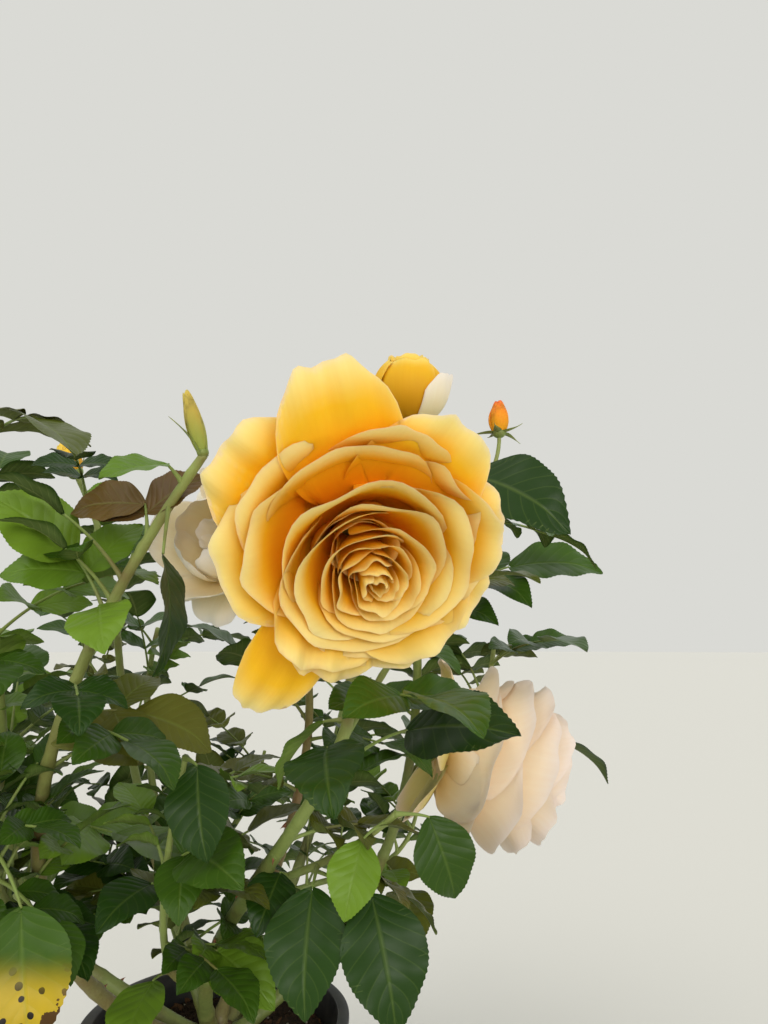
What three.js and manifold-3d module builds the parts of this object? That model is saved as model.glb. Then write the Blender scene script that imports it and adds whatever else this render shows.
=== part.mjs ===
// Rose bush in a round nursery pot.
// Millimetres, +Z up, origin at the centre of the pot's flat underside, the open front towards -Y.
import * as THREE from 'three';
import { mergeVertices } from 'three/addons/utils/BufferGeometryUtils.js';
import Module from 'manifold-3d';

const wasm = await Module();
wasm.setup();

// ---------------------------------------------------------------- driving sizes
const GAP = 0.3;
const GROUND = 118;
const SPIRAL = 137.5;

const POT = {
  height: 135,
  rim: 78,
  band: 76,
  bandDepth: 16,
  wallTop: 73.5,
  base: 56,
  wall: 2.2,
  floor: 2.6,
  sides: 24,
  drains: 6,
  drainRadius: 5,
  drainRing: 44,
};

const COLLAR = { radius: 15, flare: 18.5, flareHeight: 1.6, sides: 18 };

// Each cane leaves the collar along az, el; arch and tip are measured from the compost surface.
const CANES = {
  cane_front: {
    az: -101, el: 55, reach: 91, arch: [82, -162, 161], tip: [85, -170, 212],
    foot: 4.3, end: 2.4, bare: 0.6,
  },
  cane_front_left: {
    az: -140, el: 28, reach: 172, arch: [-36, -158, 236], tip: [25, -189, 310],
    foot: 4.2, end: 1.9, bare: 0.52,
  },
  cane_left: {
    az: -185, el: 26, reach: 186, arch: [-69, -76, 83], tip: [-98, -141, 320],
    foot: 4.4, end: 2.0, bare: 0.5,
  },
  cane_mid_left: {
    az: 160, el: 62, reach: 231, arch: [-31, -67, 244], tip: [-73, -78, 326],
    foot: 3.0, end: 1.5, bare: 0.6,
  },
  cane_middle: {
    az: 60, el: 80, reach: 20, arch: [99, -53, 211], tip: [37, -106, 261],
    foot: 3.3, end: 1.8, bare: 0.55,
  },
  cane_right: {
    az: 20, el: 30, reach: 149, arch: [123, -24, 195], tip: [113, -75, 339],
    foot: 4.0, end: 2.0, bare: 0.6,
  },
  cane_back_left: {
    az: 118, el: 28, reach: 120, arch: [-96, 96, 150], tip: [-84, 122, 246],
    foot: 4.0, end: 1.9, bare: 0.5,
  },
  cane_back_right: {
    az: 68, el: 30, reach: 118, arch: [86, 98, 215], tip: [82, 112, 335],
    foot: 4.1, end: 1.9, bare: 0.5,
  },
};

// Leaf sizes shared by every mass.
const LEAF = {
  width: 0.66,
  thick: 1.1,
  fold: 0.2,
  foot: 0.9,
  coarse: [0.45],
  fine: [0.26, 0.68],
  splay: 62,
  petiole: 1.25,
  petioleTip: 0.85,
  reachPerBlade: 2.45,
  tries: 6,
  clearance: 1.2,
  lowest: 14,
};

// A mass carries on from its cane's bare stretch, or starts as a side limb (from, az, el).
// picked: leaves with a settled place; crop: leaves dealt out by the rule.
const MASSES = {
  foliage_front: {
    grows: 'cane_front',
    shoots: [{ at: 0.6, tip: [124, -170, 283] }],
    picked: [
      { on: 1, at: 1, tip: [172, -196, 279], rise: 36, blade: 50, face: [-90, 25], count: 1 },
      { on: 0, at: 0.36, tip: [147, -209, 203], rise: 14, blade: 48, face: [-85, 40], count: 1 },
      { on: 0, at: 0.5, tip: [80, -208, 176], rise: 22, blade: 46, face: [-95, 20], count: 1 },
      { on: 0, at: 0.86, tip: [54, -163, 176], rise: 10, blade: 34, face: [170, 30], count: 1 },
      { on: 0, at: 0.74, tip: [161, -140, 224], rise: 14, blade: 42, face: [-90, 45], count: 3 },
    ],
    crop: { on: 0, count: 2, blade: [36, 40], turn: 60 },
  },
  foliage_front_left: {
    grows: 'cane_front_left',
    shoots: [],
    bud: { radius: 4.2, length: 20, sepals: 13, lean: 0.16 },
    picked: [
      { on: 0, at: 0.9, tip: [-9, -210, 296], rise: 12, blade: 40, face: [-80, 60], count: 1 },
      { on: 0, at: 0.72, tip: [-35, -174, 290], rise: 22, blade: 38, face: [-95, 35], count: 3 },
      { on: 0, at: 0.83, tip: [13, -198, 222], rise: 10, blade: 46, face: [0, 12], count: 1 },
      { on: 0, at: 0.5, tip: [-66, -180, 296], rise: 8, blade: 42, face: [-90, 30], count: 3 },
      { on: 0, at: 0.44, tip: [-8, -196, 232], rise: 22, blade: 40, face: [-90, 35], count: 1 },
      { on: 0, at: 0.2, tip: [22, -136, 188], rise: 10, blade: 38, face: [-90, 50], count: 3 },
    ],
    crop: { on: 0, count: 1, blade: [38, 34], turn: 60 },
  },
  foliage_left: {
    grows: 'cane_left',
    shoots: [{ at: 0.45, tip: [-150, -95, 225] }],
    picked: [
      { on: 0, at: 1, tip: [-26, -191, 310], rise: 18, blade: 42, face: [0, 88], count: 5 },
    ],
    crop: { on: 0, count: 6, blade: [46, 38], turn: 150 },
    extra: { on: 1, count: 3, blade: [42, 38], turn: 20 },
  },
  foliage_mid_left: {
    grows: 'cane_mid_left',
    shoots: [{ at: 0.35, tip: [-70, -64, 280], bud: { radius: 3.2, length: 9, sepals: 6, lean: 0.2 } }],
    bud: { radius: 6.2, length: 19, sepals: 15, lean: 0.75 },
    picked: [],
    crop: { on: 0, count: 2, blade: [32, 30], turn: 100 },
  },
  foliage_middle: {
    grows: 'cane_middle',
    shoots: [],
    picked: [],
    crop: { on: 0, count: 4, blade: [42, 36], turn: 10 },
  },
  foliage_right: {
    grows: 'cane_right',
    shoots: [{ at: 0.5, tip: [164, -76, 350], bud: { radius: 5.4, length: 19, sepals: 16, lean: 1.5 } }],
    picked: [
      { on: 0, at: 0.3, tip: [226, -53, 277], rise: 26, blade: 48, face: [-90, 50], count: 5 },
    ],
    crop: { on: 0, count: 5, blade: [44, 36], turn: 40 },
  },
  foliage_back_left: {
    grows: 'cane_back_left',
    shoots: [{ at: 0.4, tip: [-140, 118, 235] }],
    picked: [],
    crop: { on: 0, count: 6, blade: [46, 38], turn: 75 },
    extra: { on: 1, count: 3, blade: [44, 38], turn: 10 },
  },
  foliage_back_right: {
    grows: 'cane_back_right',
    shoots: [{ at: 0.4, tip: [138, 110, 285] }],
    picked: [],
    crop: { on: 0, count: 6, blade: [46, 38], turn: 15 },
    extra: { on: 1, count: 3, blade: [42, 38], turn: 90 },
  },
  foliage_low_right: {
    from: 'cane_front', at: 0.4, az: -38, el: 38, reach: 30, arch: [70, -118, 128],
    tip: [104, -128, 158], foot: 2.2, end: 1.4,
    shoots: [],
    picked: [
      { on: 0, at: 0.72, tip: [104, -152, 79], rise: 14, blade: 50, face: [-80, 20], count: 1 },
      { on: 0, at: 0.55, tip: [66, -153, 84], rise: 14, blade: 48, face: [-100, 20], count: 1 },
      { on: 0, at: 0.3, tip: [44, -140, 112], rise: 12, blade: 30, face: [-90, 15], count: 1 },
      { on: 0, at: 0.95, tip: [82, -152, 121], rise: 12, blade: 30, face: [-95, 20], count: 1 },
      { on: 0, at: 1, tip: [132, -116, 118], rise: 16, blade: 38, face: [-85, 25], count: 1 },
    ],
    crop: { on: 0, count: 1, blade: [34, 32], turn: 200 },
  },
  foliage_low_front: {
    from: 'cane_front', at: 0.2, az: -112, el: 8, reach: 40, arch: [-6, -120, 120],
    tip: [10, -138, 184], foot: 2.1, end: 1.3,
    shoots: [],
    picked: [
      { on: 0, at: 1, tip: [26, -160, 146], rise: 16, blade: 42, face: [-95, 15], count: 1 },
      { on: 0, at: 0.93, tip: [-40, -161, 195], rise: 14, blade: 42, face: [-95, 45], count: 3 },
      { on: 0, at: 0.7, tip: [42, -164, 138], rise: 12, blade: 40, face: [-85, 40], count: 3 },
      { on: 0, at: 0.62, tip: [-20, -152, 118], rise: 14, blade: 34, face: [-100, 25], count: 1 },
      { on: 0, at: 0.34, tip: [50, -122, 76], rise: 14, blade: 36, face: [-90, 50], count: 3 },
      { on: 0, at: 0.24, tip: [-14, -132, 58], rise: 14, blade: 34, face: [-110, 45], count: 1 },
    ],
    crop: { on: 0, count: 1, blade: [34, 32], turn: 30 },
  },
  foliage_low_left: {
    from: 'cane_front_left', at: 0.33, az: -120, el: 12, reach: 22, arch: [-72, -140, 138],
    tip: [-64, -162, 168], foot: 2.1, end: 1.3, closer: 0.8,
    shoots: [],
    picked: [
      { on: 0, at: 0.8, tip: [-29, -184, 86], rise: 16, blade: 48, face: [-80, 20], count: 1 },
    ],
    crop: { on: 0, count: 4, blade: [40, 38], turn: 130 },
  },
  foliage_far_left: {
    from: 'cane_left', at: 0.3, az: 170, el: 34, reach: 45, arch: [-168, 10, 130],
    tip: [-168, -8, 240], foot: 2.8, end: 1.5, closer: 1.3,
    shoots: [{ at: 0.5, tip: [-176, 45, 190] }],
    picked: [],
    crop: { on: 0, count: 6, blade: [44, 38], turn: 120 },
    extra: { on: 1, count: 3, blade: [40, 36], turn: 60 },
  },
  foliage_low_back_left: {
    from: 'cane_back_left', at: 0.22, az: 150, el: 20, reach: 35, arch: [-110, 70, 70],
    tip: [-128, 78, 112], foot: 2.2, end: 1.3,
    shoots: [],
    picked: [],
    crop: { on: 0, count: 5, blade: [42, 38], turn: 90 },
  },
  foliage_low_back: {
    from: 'cane_back_left', at: 0.3, az: 60, el: 25, reach: 35, arch: [-5, 120, 95],
    tip: [4, 128, 150], foot: 2.2, end: 1.3,
    shoots: [],
    picked: [],
    crop: { on: 0, count: 5, blade: [42, 38], turn: 30 },
  },
  foliage_low_back_right: {
    from: 'cane_back_right', at: 0.24, az: 18, el: 18, reach: 35, arch: [112, 62, 72],
    tip: [122, 70, 118], foot: 2.2, end: 1.3,
    shoots: [],
    picked: [],
    crop: { on: 0, count: 5, blade: [42, 38], turn: 10 },
  },
  foliage_side_right: {
    from: 'cane_right', at: 0.5, az: 12, el: 52, reach: 40, arch: [168, 22, 190],
    tip: [172, 20, 232], foot: 2.5, end: 1.4,
    shoots: [],
    picked: [],
    crop: { on: 0, count: 5, blade: [42, 36], turn: 60 },
  },
};

// Blooms. A ring of petals: how many, first turn, length, half width, and the lean away from the
// flower's axis at foot, middle and edge in degrees.
const BLOOMS = {
  bloom_main: {
    grows: 'foliage_front', seat: [82, -207, 286], az: -72, el: -34, back: 34, lead: 40,
    stalk: [2.4, 2.6], hip: 7.5, sepals: 24, sepalLean: 125,
    rings: [
      {
        turns: [92, 50, 8, -40, -82, -122, -156, 166, 128],
        reach: [1.08, 0.94, 0.92, 0.94, 1, 1.16, 0.98, 0.9, 0.96],
        length: 57, half: 24, lean: [45, 76, 92], cup: 46, foot: 6, grid: [3, 3],
      },
      { count: 6, turn: 20, length: 50, half: 20, lean: [24, 48, 60], cup: 30, foot: 6, grid: [2, 3] },
      { count: 5, turn: 50, length: 48, half: 14, lean: [12, 26, 24], cup: 18, foot: 6, grid: [2, 2] },
    ],
    heart: { radius: 19, height: 45 },
    colour: 0xf3c169,
  },
  bloom_cream: {
    grows: 'foliage_middle', seat: [34, -128, 277], az: -118, el: 12, back: 12, lead: 10,
    stalk: [1.7, 1.9], hip: 5.5, sepals: 18, sepalLean: 115,
    rings: [
      { count: 7, turn: 90, length: 40, half: 17, lean: [40, 66, 82], cup: 30, foot: 6, grid: [2, 3] },
    ],
    heart: { radius: 16, height: 30 },
    colour: 0xf6ead0,
  },
  bloom_yellow: {
    grows: 'foliage_right', seat: [112, -79, 356], az: -80, el: 80, back: 6, lead: 6,
    stalk: [1.9, 2.0], hip: 5.5, sepals: 18, sepalLean: 105,
    rings: [
      { count: 5, turn: 10, length: 44, half: 17, lean: [52, 16, 10], cup: 19, foot: 6, grid: [2, 4] },
    ],
    heart: { radius: 14, height: 38 },
    colour: 0xf7c64f,
  },
  bloom_faded: {
    from: 'cane_right', at: 0.56, az0: -70, el0: 40, seat: [131, -42, 178], az: 6, el: -16,
    back: 14, lead: 12,
    stalk: [1.6, 1.8], hip: 5.5, sepals: 22, sepalLean: 120,
    rings: [
      { count: 6, turn: 80, length: 62, half: 27, lean: [58, 34, 62], cup: 34, foot: 6, grid: [2, 3] },
    ],
    heart: { radius: 19, height: 44 },
    colour: 0xeccda6,
  },
};

// ---------------------------------------------------------------- small helpers
const UP = new THREE.Vector3(0, 0, 1);
const rad = THREE.MathUtils.degToRad;

// Direction with the given bearing from +X and height above the horizon.
function heading(az, el) {
  const flat = Math.cos(rad(el));
  return new THREE.Vector3(flat * Math.cos(rad(az)), flat * Math.sin(rad(az)), Math.sin(rad(el)));
}

// Point given by its height above the compost.
function above([x, y, z]) {
  return new THREE.Vector3(x, y, z + GROUND);
}

// The part of v square to the unit direction along, as a unit direction.
function square(v, along) {
  const flat = v.clone().addScaledVector(along, -v.dot(along));
  return flat.lengthSq() > 1e-6 ? flat.normalize() : square(new THREE.Vector3(0.9, 0.1, 0.3), along);
}

// Repeatable random numbers from 0 to 1.
function dice(seed) {
  let state = seed % 4294967296;
  return () => {
    state = (state * 1664525 + 1013904223) % 4294967296;
    return state / 4294967296;
  };
}

// Moves every corner of a geometry to where place() sends it.
function bend(geometry, place) {
  const at = geometry.attributes.position;
  const p = new THREE.Vector3();
  for (let i = 0; i < at.count; i += 1) {
    p.fromBufferAttribute(at, i);
    const q = place(p.x, p.y, p.z);
    at.setXYZ(i, q.x, q.y, q.z);
  }
  return geometry;
}

// Block to bend into a thin sheet. Its back is cut along the same diagonals as its front, so that
// the sheet keeps its thickness wherever it twists.
function sheetBlock(across, along) {
  const block = new THREE.BoxGeometry(1, 1, 1, across, along, 1);
  const { start, count } = block.groups[5];
  for (let i = start; i < start + count; i += 6) {
    const [a, b, d, , c] = block.index.array.slice(i, i + 6);
    block.index.array.set([a, b, c, a, c, d], i);
  }
  return block;
}

// Closed solid for boolean work, always facing out.
function solid(geometry) {
  const bare = geometry.clone();
  for (const name of Object.keys(bare.attributes)) {
    if (name !== 'position') bare.deleteAttribute(name);
  }
  const merged = mergeVertices(bare, 1e-3);
  const points = merged.attributes.position.array;
  const faces = [];
  const index = merged.index.array;
  let volume = 0;
  const a = new THREE.Vector3();
  const b = new THREE.Vector3();
  const c = new THREE.Vector3();
  for (let i = 0; i < index.length; i += 3) {
    const [p, q, r] = [index[i], index[i + 1], index[i + 2]];
    if (p !== q && q !== r && r !== p) {
      faces.push([p, q, r]);
      a.fromArray(points, p * 3);
      b.fromArray(points, q * 3);
      c.fromArray(points, r * 3);
      volume += a.dot(b.cross(c));
    }
  }
  const facing = volume < 0 ? faces.map(([p, q, r]) => [p, r, q]) : faces;
  return new wasm.Manifold(new wasm.Mesh({
    numProp: 3,
    vertProperties: new Float32Array(points),
    triVerts: new Uint32Array(facing.flat()),
  }));
}

function toGeometry(body) {
  const data = body.getMesh();
  const geometry = new THREE.BufferGeometry();
  geometry.setAttribute('position', new THREE.BufferAttribute(data.vertProperties.slice(), 3));
  geometry.setIndex(new THREE.BufferAttribute(data.triVerts.slice(), 1));
  return geometry;
}

function largest(bodies) {
  return bodies.reduce((best, body) => (body.volume() > best.volume() ? body : best));
}

// Joins solids into one body: the largest outer skin, with hollows filled and scraps dropped, and
// once more after close corners have been merged.
function fuse(solids) {
  const joined = largest(wasm.Manifold.union(solids).simplify(0.05).decompose());
  return largest(solid(toGeometry(joined)).decompose());
}

function toMesh(name, body, look) {
  const geometry = mergeVertices(toGeometry(body), 1e-3);
  geometry.computeVertexNormals();
  const mesh = new THREE.Mesh(geometry, new THREE.MeshStandardMaterial(look));
  mesh.name = name;
  return mesh;
}

// ---------------------------------------------------------------- limbs
// Tapering closed tube along part of a curve.
function limb(curve, t0, t1, r0, r1, sides, steps) {
  const chord = curve.getPoint(t1).sub(curve.getPoint(t0)).normalize();
  const least = Math.abs(chord.x) < Math.abs(chord.y) ? new THREE.Vector3(1, 0, 0) : new THREE.Vector3(0, 1, 0);
  const ref = square(least, chord);
  const tube = new THREE.CylinderGeometry(1, 1, 1, sides, steps);
  return bend(tube, (x, y, z) => {
    const s = y + 0.5;
    const t = t0 + (t1 - t0) * s;
    const tangent = curve.getTangent(t);
    const across = square(ref, tangent);
    const other = across.clone().cross(tangent);
    const r = r0 + (r1 - r0) * s;
    return curve.getPoint(t).addScaledVector(across, x * r).addScaledVector(other, z * r);
  });
}

// Share of the curve's parameter that covers a given length from t.
function stepAlong(curve, t, length) {
  const near = curve.getPoint(t);
  const far = curve.getPoint(t + 0.001);
  return (length * 0.001) / far.distanceTo(near);
}

function caneCurve(cane) {
  const out = heading(cane.az, cane.el);
  const foot = new THREE.Vector3(0, 0, GROUND).addScaledVector(out, COLLAR.radius + GAP);
  const lead = foot.clone().addScaledVector(out, cane.reach);
  return new THREE.CubicBezierCurve3(foot, lead, above(cane.arch), above(cane.tip));
}

function caneRadius(cane, t) {
  return cane.foot + (cane.end - cane.foot) * t;
}

// Where a side limb of radius r starts so that it stands GAP clear of its parent; closer takes up
// what the parent's flat facets lose on a tight bend.
function sideStart(parent, t, parentRadius, out, r, closer = 0) {
  const tangent = parent.getTangent(t);
  const cos = Math.abs(tangent.dot(out));
  const sin = Math.sqrt(1 - cos * cos);
  return parent.getPoint(t).addScaledVector(out, (parentRadius + GAP - closer + r * cos) / sin);
}

// Stem of a mass: the rest of its cane, or a side limb. Returned with its span and radii.
function stemOf(mass) {
  if (mass.grows) {
    const cane = CANES[mass.grows];
    const curve = caneCurve(cane);
    const t0 = cane.bare + stepAlong(curve, cane.bare, GAP);
    return { curve, t0, t1: 1, r0: caneRadius(cane, t0), r1: cane.end };
  }
  const parent = CANES[mass.from];
  const out = heading(mass.az, mass.el);
  const root = caneCurve(parent);
  const start = sideStart(root, mass.at, caneRadius(parent, mass.at), out, mass.foot, mass.closer);
  const lead = start.clone().addScaledVector(out, mass.reach);
  const curve = new THREE.CubicBezierCurve3(start, lead, above(mass.arch), above(mass.tip));
  return { curve, t0: 0, t1: 1, r0: mass.foot, r1: mass.end };
}

// Side shoot fused to a stem.
function shootOf(stem, shoot) {
  const t = stem.t0 + (stem.t1 - stem.t0) * shoot.at;
  const start = stem.curve.getPoint(t);
  const tip = above(shoot.tip);
  const span = tip.distanceTo(start);
  const toward = tip.clone().sub(start).normalize();
  const lead = start.clone().addScaledVector(stem.curve.getTangent(t), span * 0.15)
    .addScaledVector(toward, span * 0.25);
  const late = tip.clone().addScaledVector(UP, -span * 0.3);
  return { curve: new THREE.CubicBezierCurve3(start, lead, late, tip), t0: 0, t1: 1, r0: 1.5, r1: 1.1 };
}

// ---------------------------------------------------------------- leaves
// Pointed blade of eight faces, thickest near its foot; extra fattens it all round.
function blade({ root, along, length, face }, width, extra) {
  const normal = square(face, along);
  const side = along.clone().cross(normal);
  return bend(new THREE.OctahedronGeometry(1, 0), (x, y, z) => {
    const ridge = Math.abs(y) > 0.5;
    const reach = ridge ? 0.2 * length : (length + extra) * (0.5 + 0.5 * x);
    return root.clone().addScaledVector(along, reach)
      .addScaledVector(normal, y * (LEAF.thick / 2 + extra))
      .addScaledVector(side, z * (length * width * 0.5 + extra));
  });
}

// Edge points of a leaflet from foot to tip on one hand, the sides raised above the middle.
function leafEdge(leaf, side, hand, shares) {
  return shares.map((share) => {
    const half = leaf.length * LEAF.width * 0.58 * Math.sin(Math.PI * share ** 0.88);
    return leaf.root.clone().addScaledVector(leaf.along, leaf.length * share)
      .addScaledVector(side, hand * half)
      .addScaledVector(square(leaf.face, leaf.along), LEAF.fold * half);
  });
}

// A compound leaf as one body: a long block drawn out along the leaf stalk, four corners across,
// whose outer corners run round each leaflet and come back to the stalk.
function leafBody(plan, shares) {
  const [end, ...sides] = plan.blades;
  const rows = [];
  let wide = LEAF.petiole;
  const row = (at, tangent, left, right, inner) => rows.push({ at, tangent, left, right, inner, wide });
  row(plan.curve.getPoint(0), plan.curve.getTangent(0));
  wide = (LEAF.petiole + LEAF.petioleTip) / 2;
  for (let i = sides.length - 2; i >= 0; i -= 2) {
    const [left, right] = [sides[i], sides[i + 1]];
    const { tangent } = left;
    const edges = [[left, 1], [right, -1]].map(([leaf, hand]) => {
      const side = square(tangent, leaf.along);
      const tip = leaf.root.clone().addScaledVector(leaf.along, leaf.length);
      return [...leafEdge(leaf, side, -1, shares), tip, ...leafEdge(leaf, side, 1, shares).reverse()];
    });
    const near = left.root.clone().addScaledVector(tangent, -LEAF.foot);
    const far = left.root.clone().addScaledVector(tangent, LEAF.foot);
    row(near, tangent);
    edges[0].forEach((point, k) => row(k <= shares.length ? near : far, tangent, point, edges[1][k]));
    row(far, tangent);
  }
  const side = square(end.face, end.along).cross(end.along);
  const tip = end.root.clone().addScaledVector(end.along, end.length);
  wide = LEAF.petioleTip;
  row(end.root, end.along);
  const [lefts, rights] = [1, -1].map((hand) => leafEdge(end, side, hand, shares));
  lefts.forEach((point, k) => row(end.root, end.along, point, rights[k]));
  row(end.root, end.along, tip, tip, tip);
  const last = rows.length - 1;
  return bend(sheetBlock(3, last), (x, y, z) => {
    const j = Math.round((y + 0.5) * last);
    const { at, tangent, left, right, inner, wide: width } = rows[j];
    const outer = x < -0.4 ? left : x > 0.4 ? right : undefined;
    if (inner || outer) return inner || outer;
    const normal = square(plan.face, tangent);
    const flank = normal.clone().cross(tangent);
    return at.clone().addScaledVector(flank, -Math.sign(x) * width * 0.8)
      .addScaledVector(normal, Math.sign(z) * LEAF.thick * 0.5);
  });
}

// Plan of a compound leaf: the bowed leaf stalk and its leaflets, the end one last to first pair.
function leafPlan(start, tip, rise, face, size, count, roll) {
  const chord = tip.clone().sub(start);
  const span = chord.length();
  const lift = square(UP, chord.clone().normalize());
  const bow = start.clone().addScaledVector(chord, 0.5).addScaledVector(lift, 2 * rise);
  const curve = new THREE.QuadraticBezierCurve3(start, bow, tip);
  const end = Math.max(0.2, 1 - size / span);
  const root = curve.getPoint(end);
  const last = tip.clone().sub(root);
  const blades = [{ root, along: last.clone().normalize(), length: last.length(), face: face.clone() }];
  const pairs = (count - 1) / 2;
  for (let i = 0; i < pairs; i += 1) {
    const share = pairs === 1 ? 0.7 : 0.78 - (0.36 * i) / (pairs - 1);
    const at = curve.getPoint(end * share);
    const tangent = curve.getTangent(end * share);
    const side = square(face, tangent).cross(tangent);
    for (const hand of [1, -1]) {
      const open = rad(LEAF.splay + 10 * (roll() - 0.5));
      const along = tangent.clone().multiplyScalar(Math.cos(open))
        .addScaledVector(side, hand * Math.sin(open))
        .addScaledVector(face, -0.16 + 0.22 * (roll() - 0.5)).normalize();
      const tilt = face.clone().addScaledVector(side, hand * 0.18).addScaledVector(tangent, 0.15);
      blades.push({ root: at, along, length: size * (0.8 - 0.09 * i), face: tilt, tangent });
    }
  }
  return { curve, end, blades, face: face.clone() };
}

// ---------------------------------------------------------------- keeping clear
const placed = [];

function keep(body, owner) {
  placed.push({ body, owner, box: body.boundingBox() });
}

function apart(a, b) {
  return [0, 1, 2].some((i) => a.max[i] < b.min[i] || b.max[i] < a.min[i]);
}

function clear(body, skipped) {
  const box = body.boundingBox();
  return placed.every((other) => skipped.includes(other.owner) || apart(box, other.box)
    || body.intersect(other.body).isEmpty());
}

// Adds one compound leaf if its stalk and end leaflet are clear; a pair that touches is left out.
function tryLeaf(plan, host, shares) {
  const guard = solid(limb(plan.curve, 0.04, plan.end, LEAF.petiole + 0.7, LEAF.petioleTip + 0.7, 3, 2));
  const free = (leaf) => {
    const low = Math.min(leaf.root.z, leaf.root.z + leaf.along.z * leaf.length);
    const shy = { ...leaf, root: leaf.root.clone().addScaledVector(leaf.along, 3), length: leaf.length - 3 };
    return low > GROUND + LEAF.lowest && clear(solid(blade(shy, LEAF.width, LEAF.clearance)), []);
  };
  const [end, ...sides] = plan.blades;
  if (!clear(guard, [host]) || !free(end)) return [];
  const kept = sides.filter((leaf, i) => free(leaf) && free(sides[i ^ 1]));
  const body = solid(leafBody({ ...plan, blades: [end, ...kept] }, shares));
  if (!clear(body, [host])) return [];
  keep(body, host + '_leaf');
  return [body];
}

// Where the rule would put a leaf: spiralling up its twig, leaning out and up, tip drooping.
function ruleLeaf(twig, crop, k, attempt, seed) {
  const roll = dice(seed);
  const share = crop.count === 1 ? 0.6 : 0.06 + (0.84 * k) / (crop.count - 1);
  const t = twig.t0 + (twig.t1 - twig.t0) * share;
  const turn = rad(crop.turn + SPIRAL * k + 30 * (roll() - 0.5) + 48 * attempt);
  const start = twig.curve.getPoint(t);
  const tangent = twig.curve.getTangent(t);
  const across = square(new THREE.Vector3(1, 0, 0), tangent);
  const other = tangent.clone().cross(across);
  const out = across.multiplyScalar(Math.cos(turn)).addScaledVector(other, Math.sin(turn));
  const size = crop.blade[0] + (crop.blade[1] - crop.blade[0]) * share;
  const blades = size * (0.9 + 0.2 * roll());
  const reach = blades * LEAF.reachPerBlade * (attempt < 3 ? 1 : 0.84);
  const aim = out.addScaledVector(tangent, 0.35).normalize().addScaledVector(UP, 0.12 - 0.3 * roll()).normalize();
  const tip = start.clone().addScaledVector(aim, reach);
  const outward = new THREE.Vector3(aim.x, aim.y, 0);
  const face = UP.clone().addScaledVector(outward, 0.45 + 0.5 * roll()).normalize();
  return leafPlan(start, tip, reach * 0.1, face, blades, 5, roll);
}

// ---------------------------------------------------------------- flowers
// Petal bent from a thin block: it leans away from the axis by the ring's three angles.
function petal(frame, ring, turn, grow, thick) {
  const radial = frame.x.clone().multiplyScalar(Math.cos(turn)).addScaledVector(frame.y, Math.sin(turn));
  const tangent = frame.axis.clone().cross(radial);
  const lean = (v) => {
    const [a, b, c] = ring.lean.map(rad);
    return a * (1 - v) * (1 - v) + 2 * b * v * (1 - v) + c * v * v;
  };
  const [nu, nv] = ring.grid;
  return bend(sheetBlock(nu, nv), (x, y, z) => {
    const u = x * 2;
    const v = (y + 0.5) * (1 - 0.2 * u * u);
    const size = ring.length * grow;
    let out = ring.foot;
    let high = 1;
    const parts = 12;
    for (let i = 0; i < parts; i += 1) {
      const angle = lean((v * (i + 0.5)) / parts);
      out += (Math.sin(angle) * size * v) / parts;
      high += (Math.cos(angle) * size * v) / parts;
    }
    const angle = lean(v);
    const wide = ring.half * grow * (0.1 + 0.9 * Math.sin(Math.PI * (0.03 + 0.6 * v)));
    const around = Math.max(ring.cup, out * 0.9);
    const sweep = (u * wide) / around;
    const skin = Math.abs(u) > 0.99 || y > 0.49 ? 0 : z * thick;
    const normal = radial.clone().multiplyScalar(Math.cos(angle)).addScaledVector(frame.axis, -Math.sin(angle));
    return frame.seat.clone()
      .addScaledVector(radial, out)
      .addScaledVector(frame.axis, high)
      .addScaledVector(tangent, Math.sin(sweep) * around)
      .addScaledVector(normal, skin - (1 - Math.cos(sweep)) * around);
  });
}

function flowerFrame(bloom) {
  const axis = heading(bloom.az, bloom.el);
  const y = square(UP, axis);
  const x = y.clone().cross(axis);
  return { seat: above(bloom.seat), axis, x, y };
}

// Egg-shaped body along an axis, foot at start.
function egg(start, axis, radius, length, blunt, sides, rings) {
  const x = square(new THREE.Vector3(1, 0, 0), axis);
  const z = x.clone().cross(axis);
  return bend(new THREE.SphereGeometry(1, sides, rings), (px, py, pz) => {
    const s = py * 0.5 + 0.5;
    const wide = radius * (1 + blunt * (0.5 - s));
    return start.clone().addScaledVector(axis, s * length)
      .addScaledVector(x, px * wide).addScaledVector(z, pz * wide);
  });
}

// Sepals: five narrow blades around a flower's foot, leaning away from its axis.
function sepals(start, axis, length, lean, offset) {
  const x = square(new THREE.Vector3(1, 0, 0), axis);
  const y = axis.clone().cross(x);
  return [0, 1, 2, 3, 4].map((i) => {
    const turn = rad(36 + 72 * i);
    const out = x.clone().multiplyScalar(Math.cos(turn)).addScaledVector(y, Math.sin(turn));
    const along = axis.clone().multiplyScalar(Math.cos(lean)).addScaledVector(out, Math.sin(lean));
    const face = axis.clone().multiplyScalar(Math.sin(lean)).addScaledVector(out, -Math.cos(lean));
    const root = start.clone().addScaledVector(out, offset).addScaledVector(along, -1.5);
    return blade({ root, along, length, face }, 0.3, 0);
  });
}

function budParts(twig, bud) {
  const axis = twig.curve.getTangent(twig.t1);
  const foot = twig.curve.getPoint(twig.t1).addScaledVector(axis, -1);
  return [
    egg(foot, axis, bud.radius, bud.length, 0.7, 7, 4),
    ...sepals(foot.clone().addScaledVector(axis, bud.radius * 0.5), axis, bud.sepals, bud.lean, bud.radius * 0.45),
  ].map(solid);
}

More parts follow.
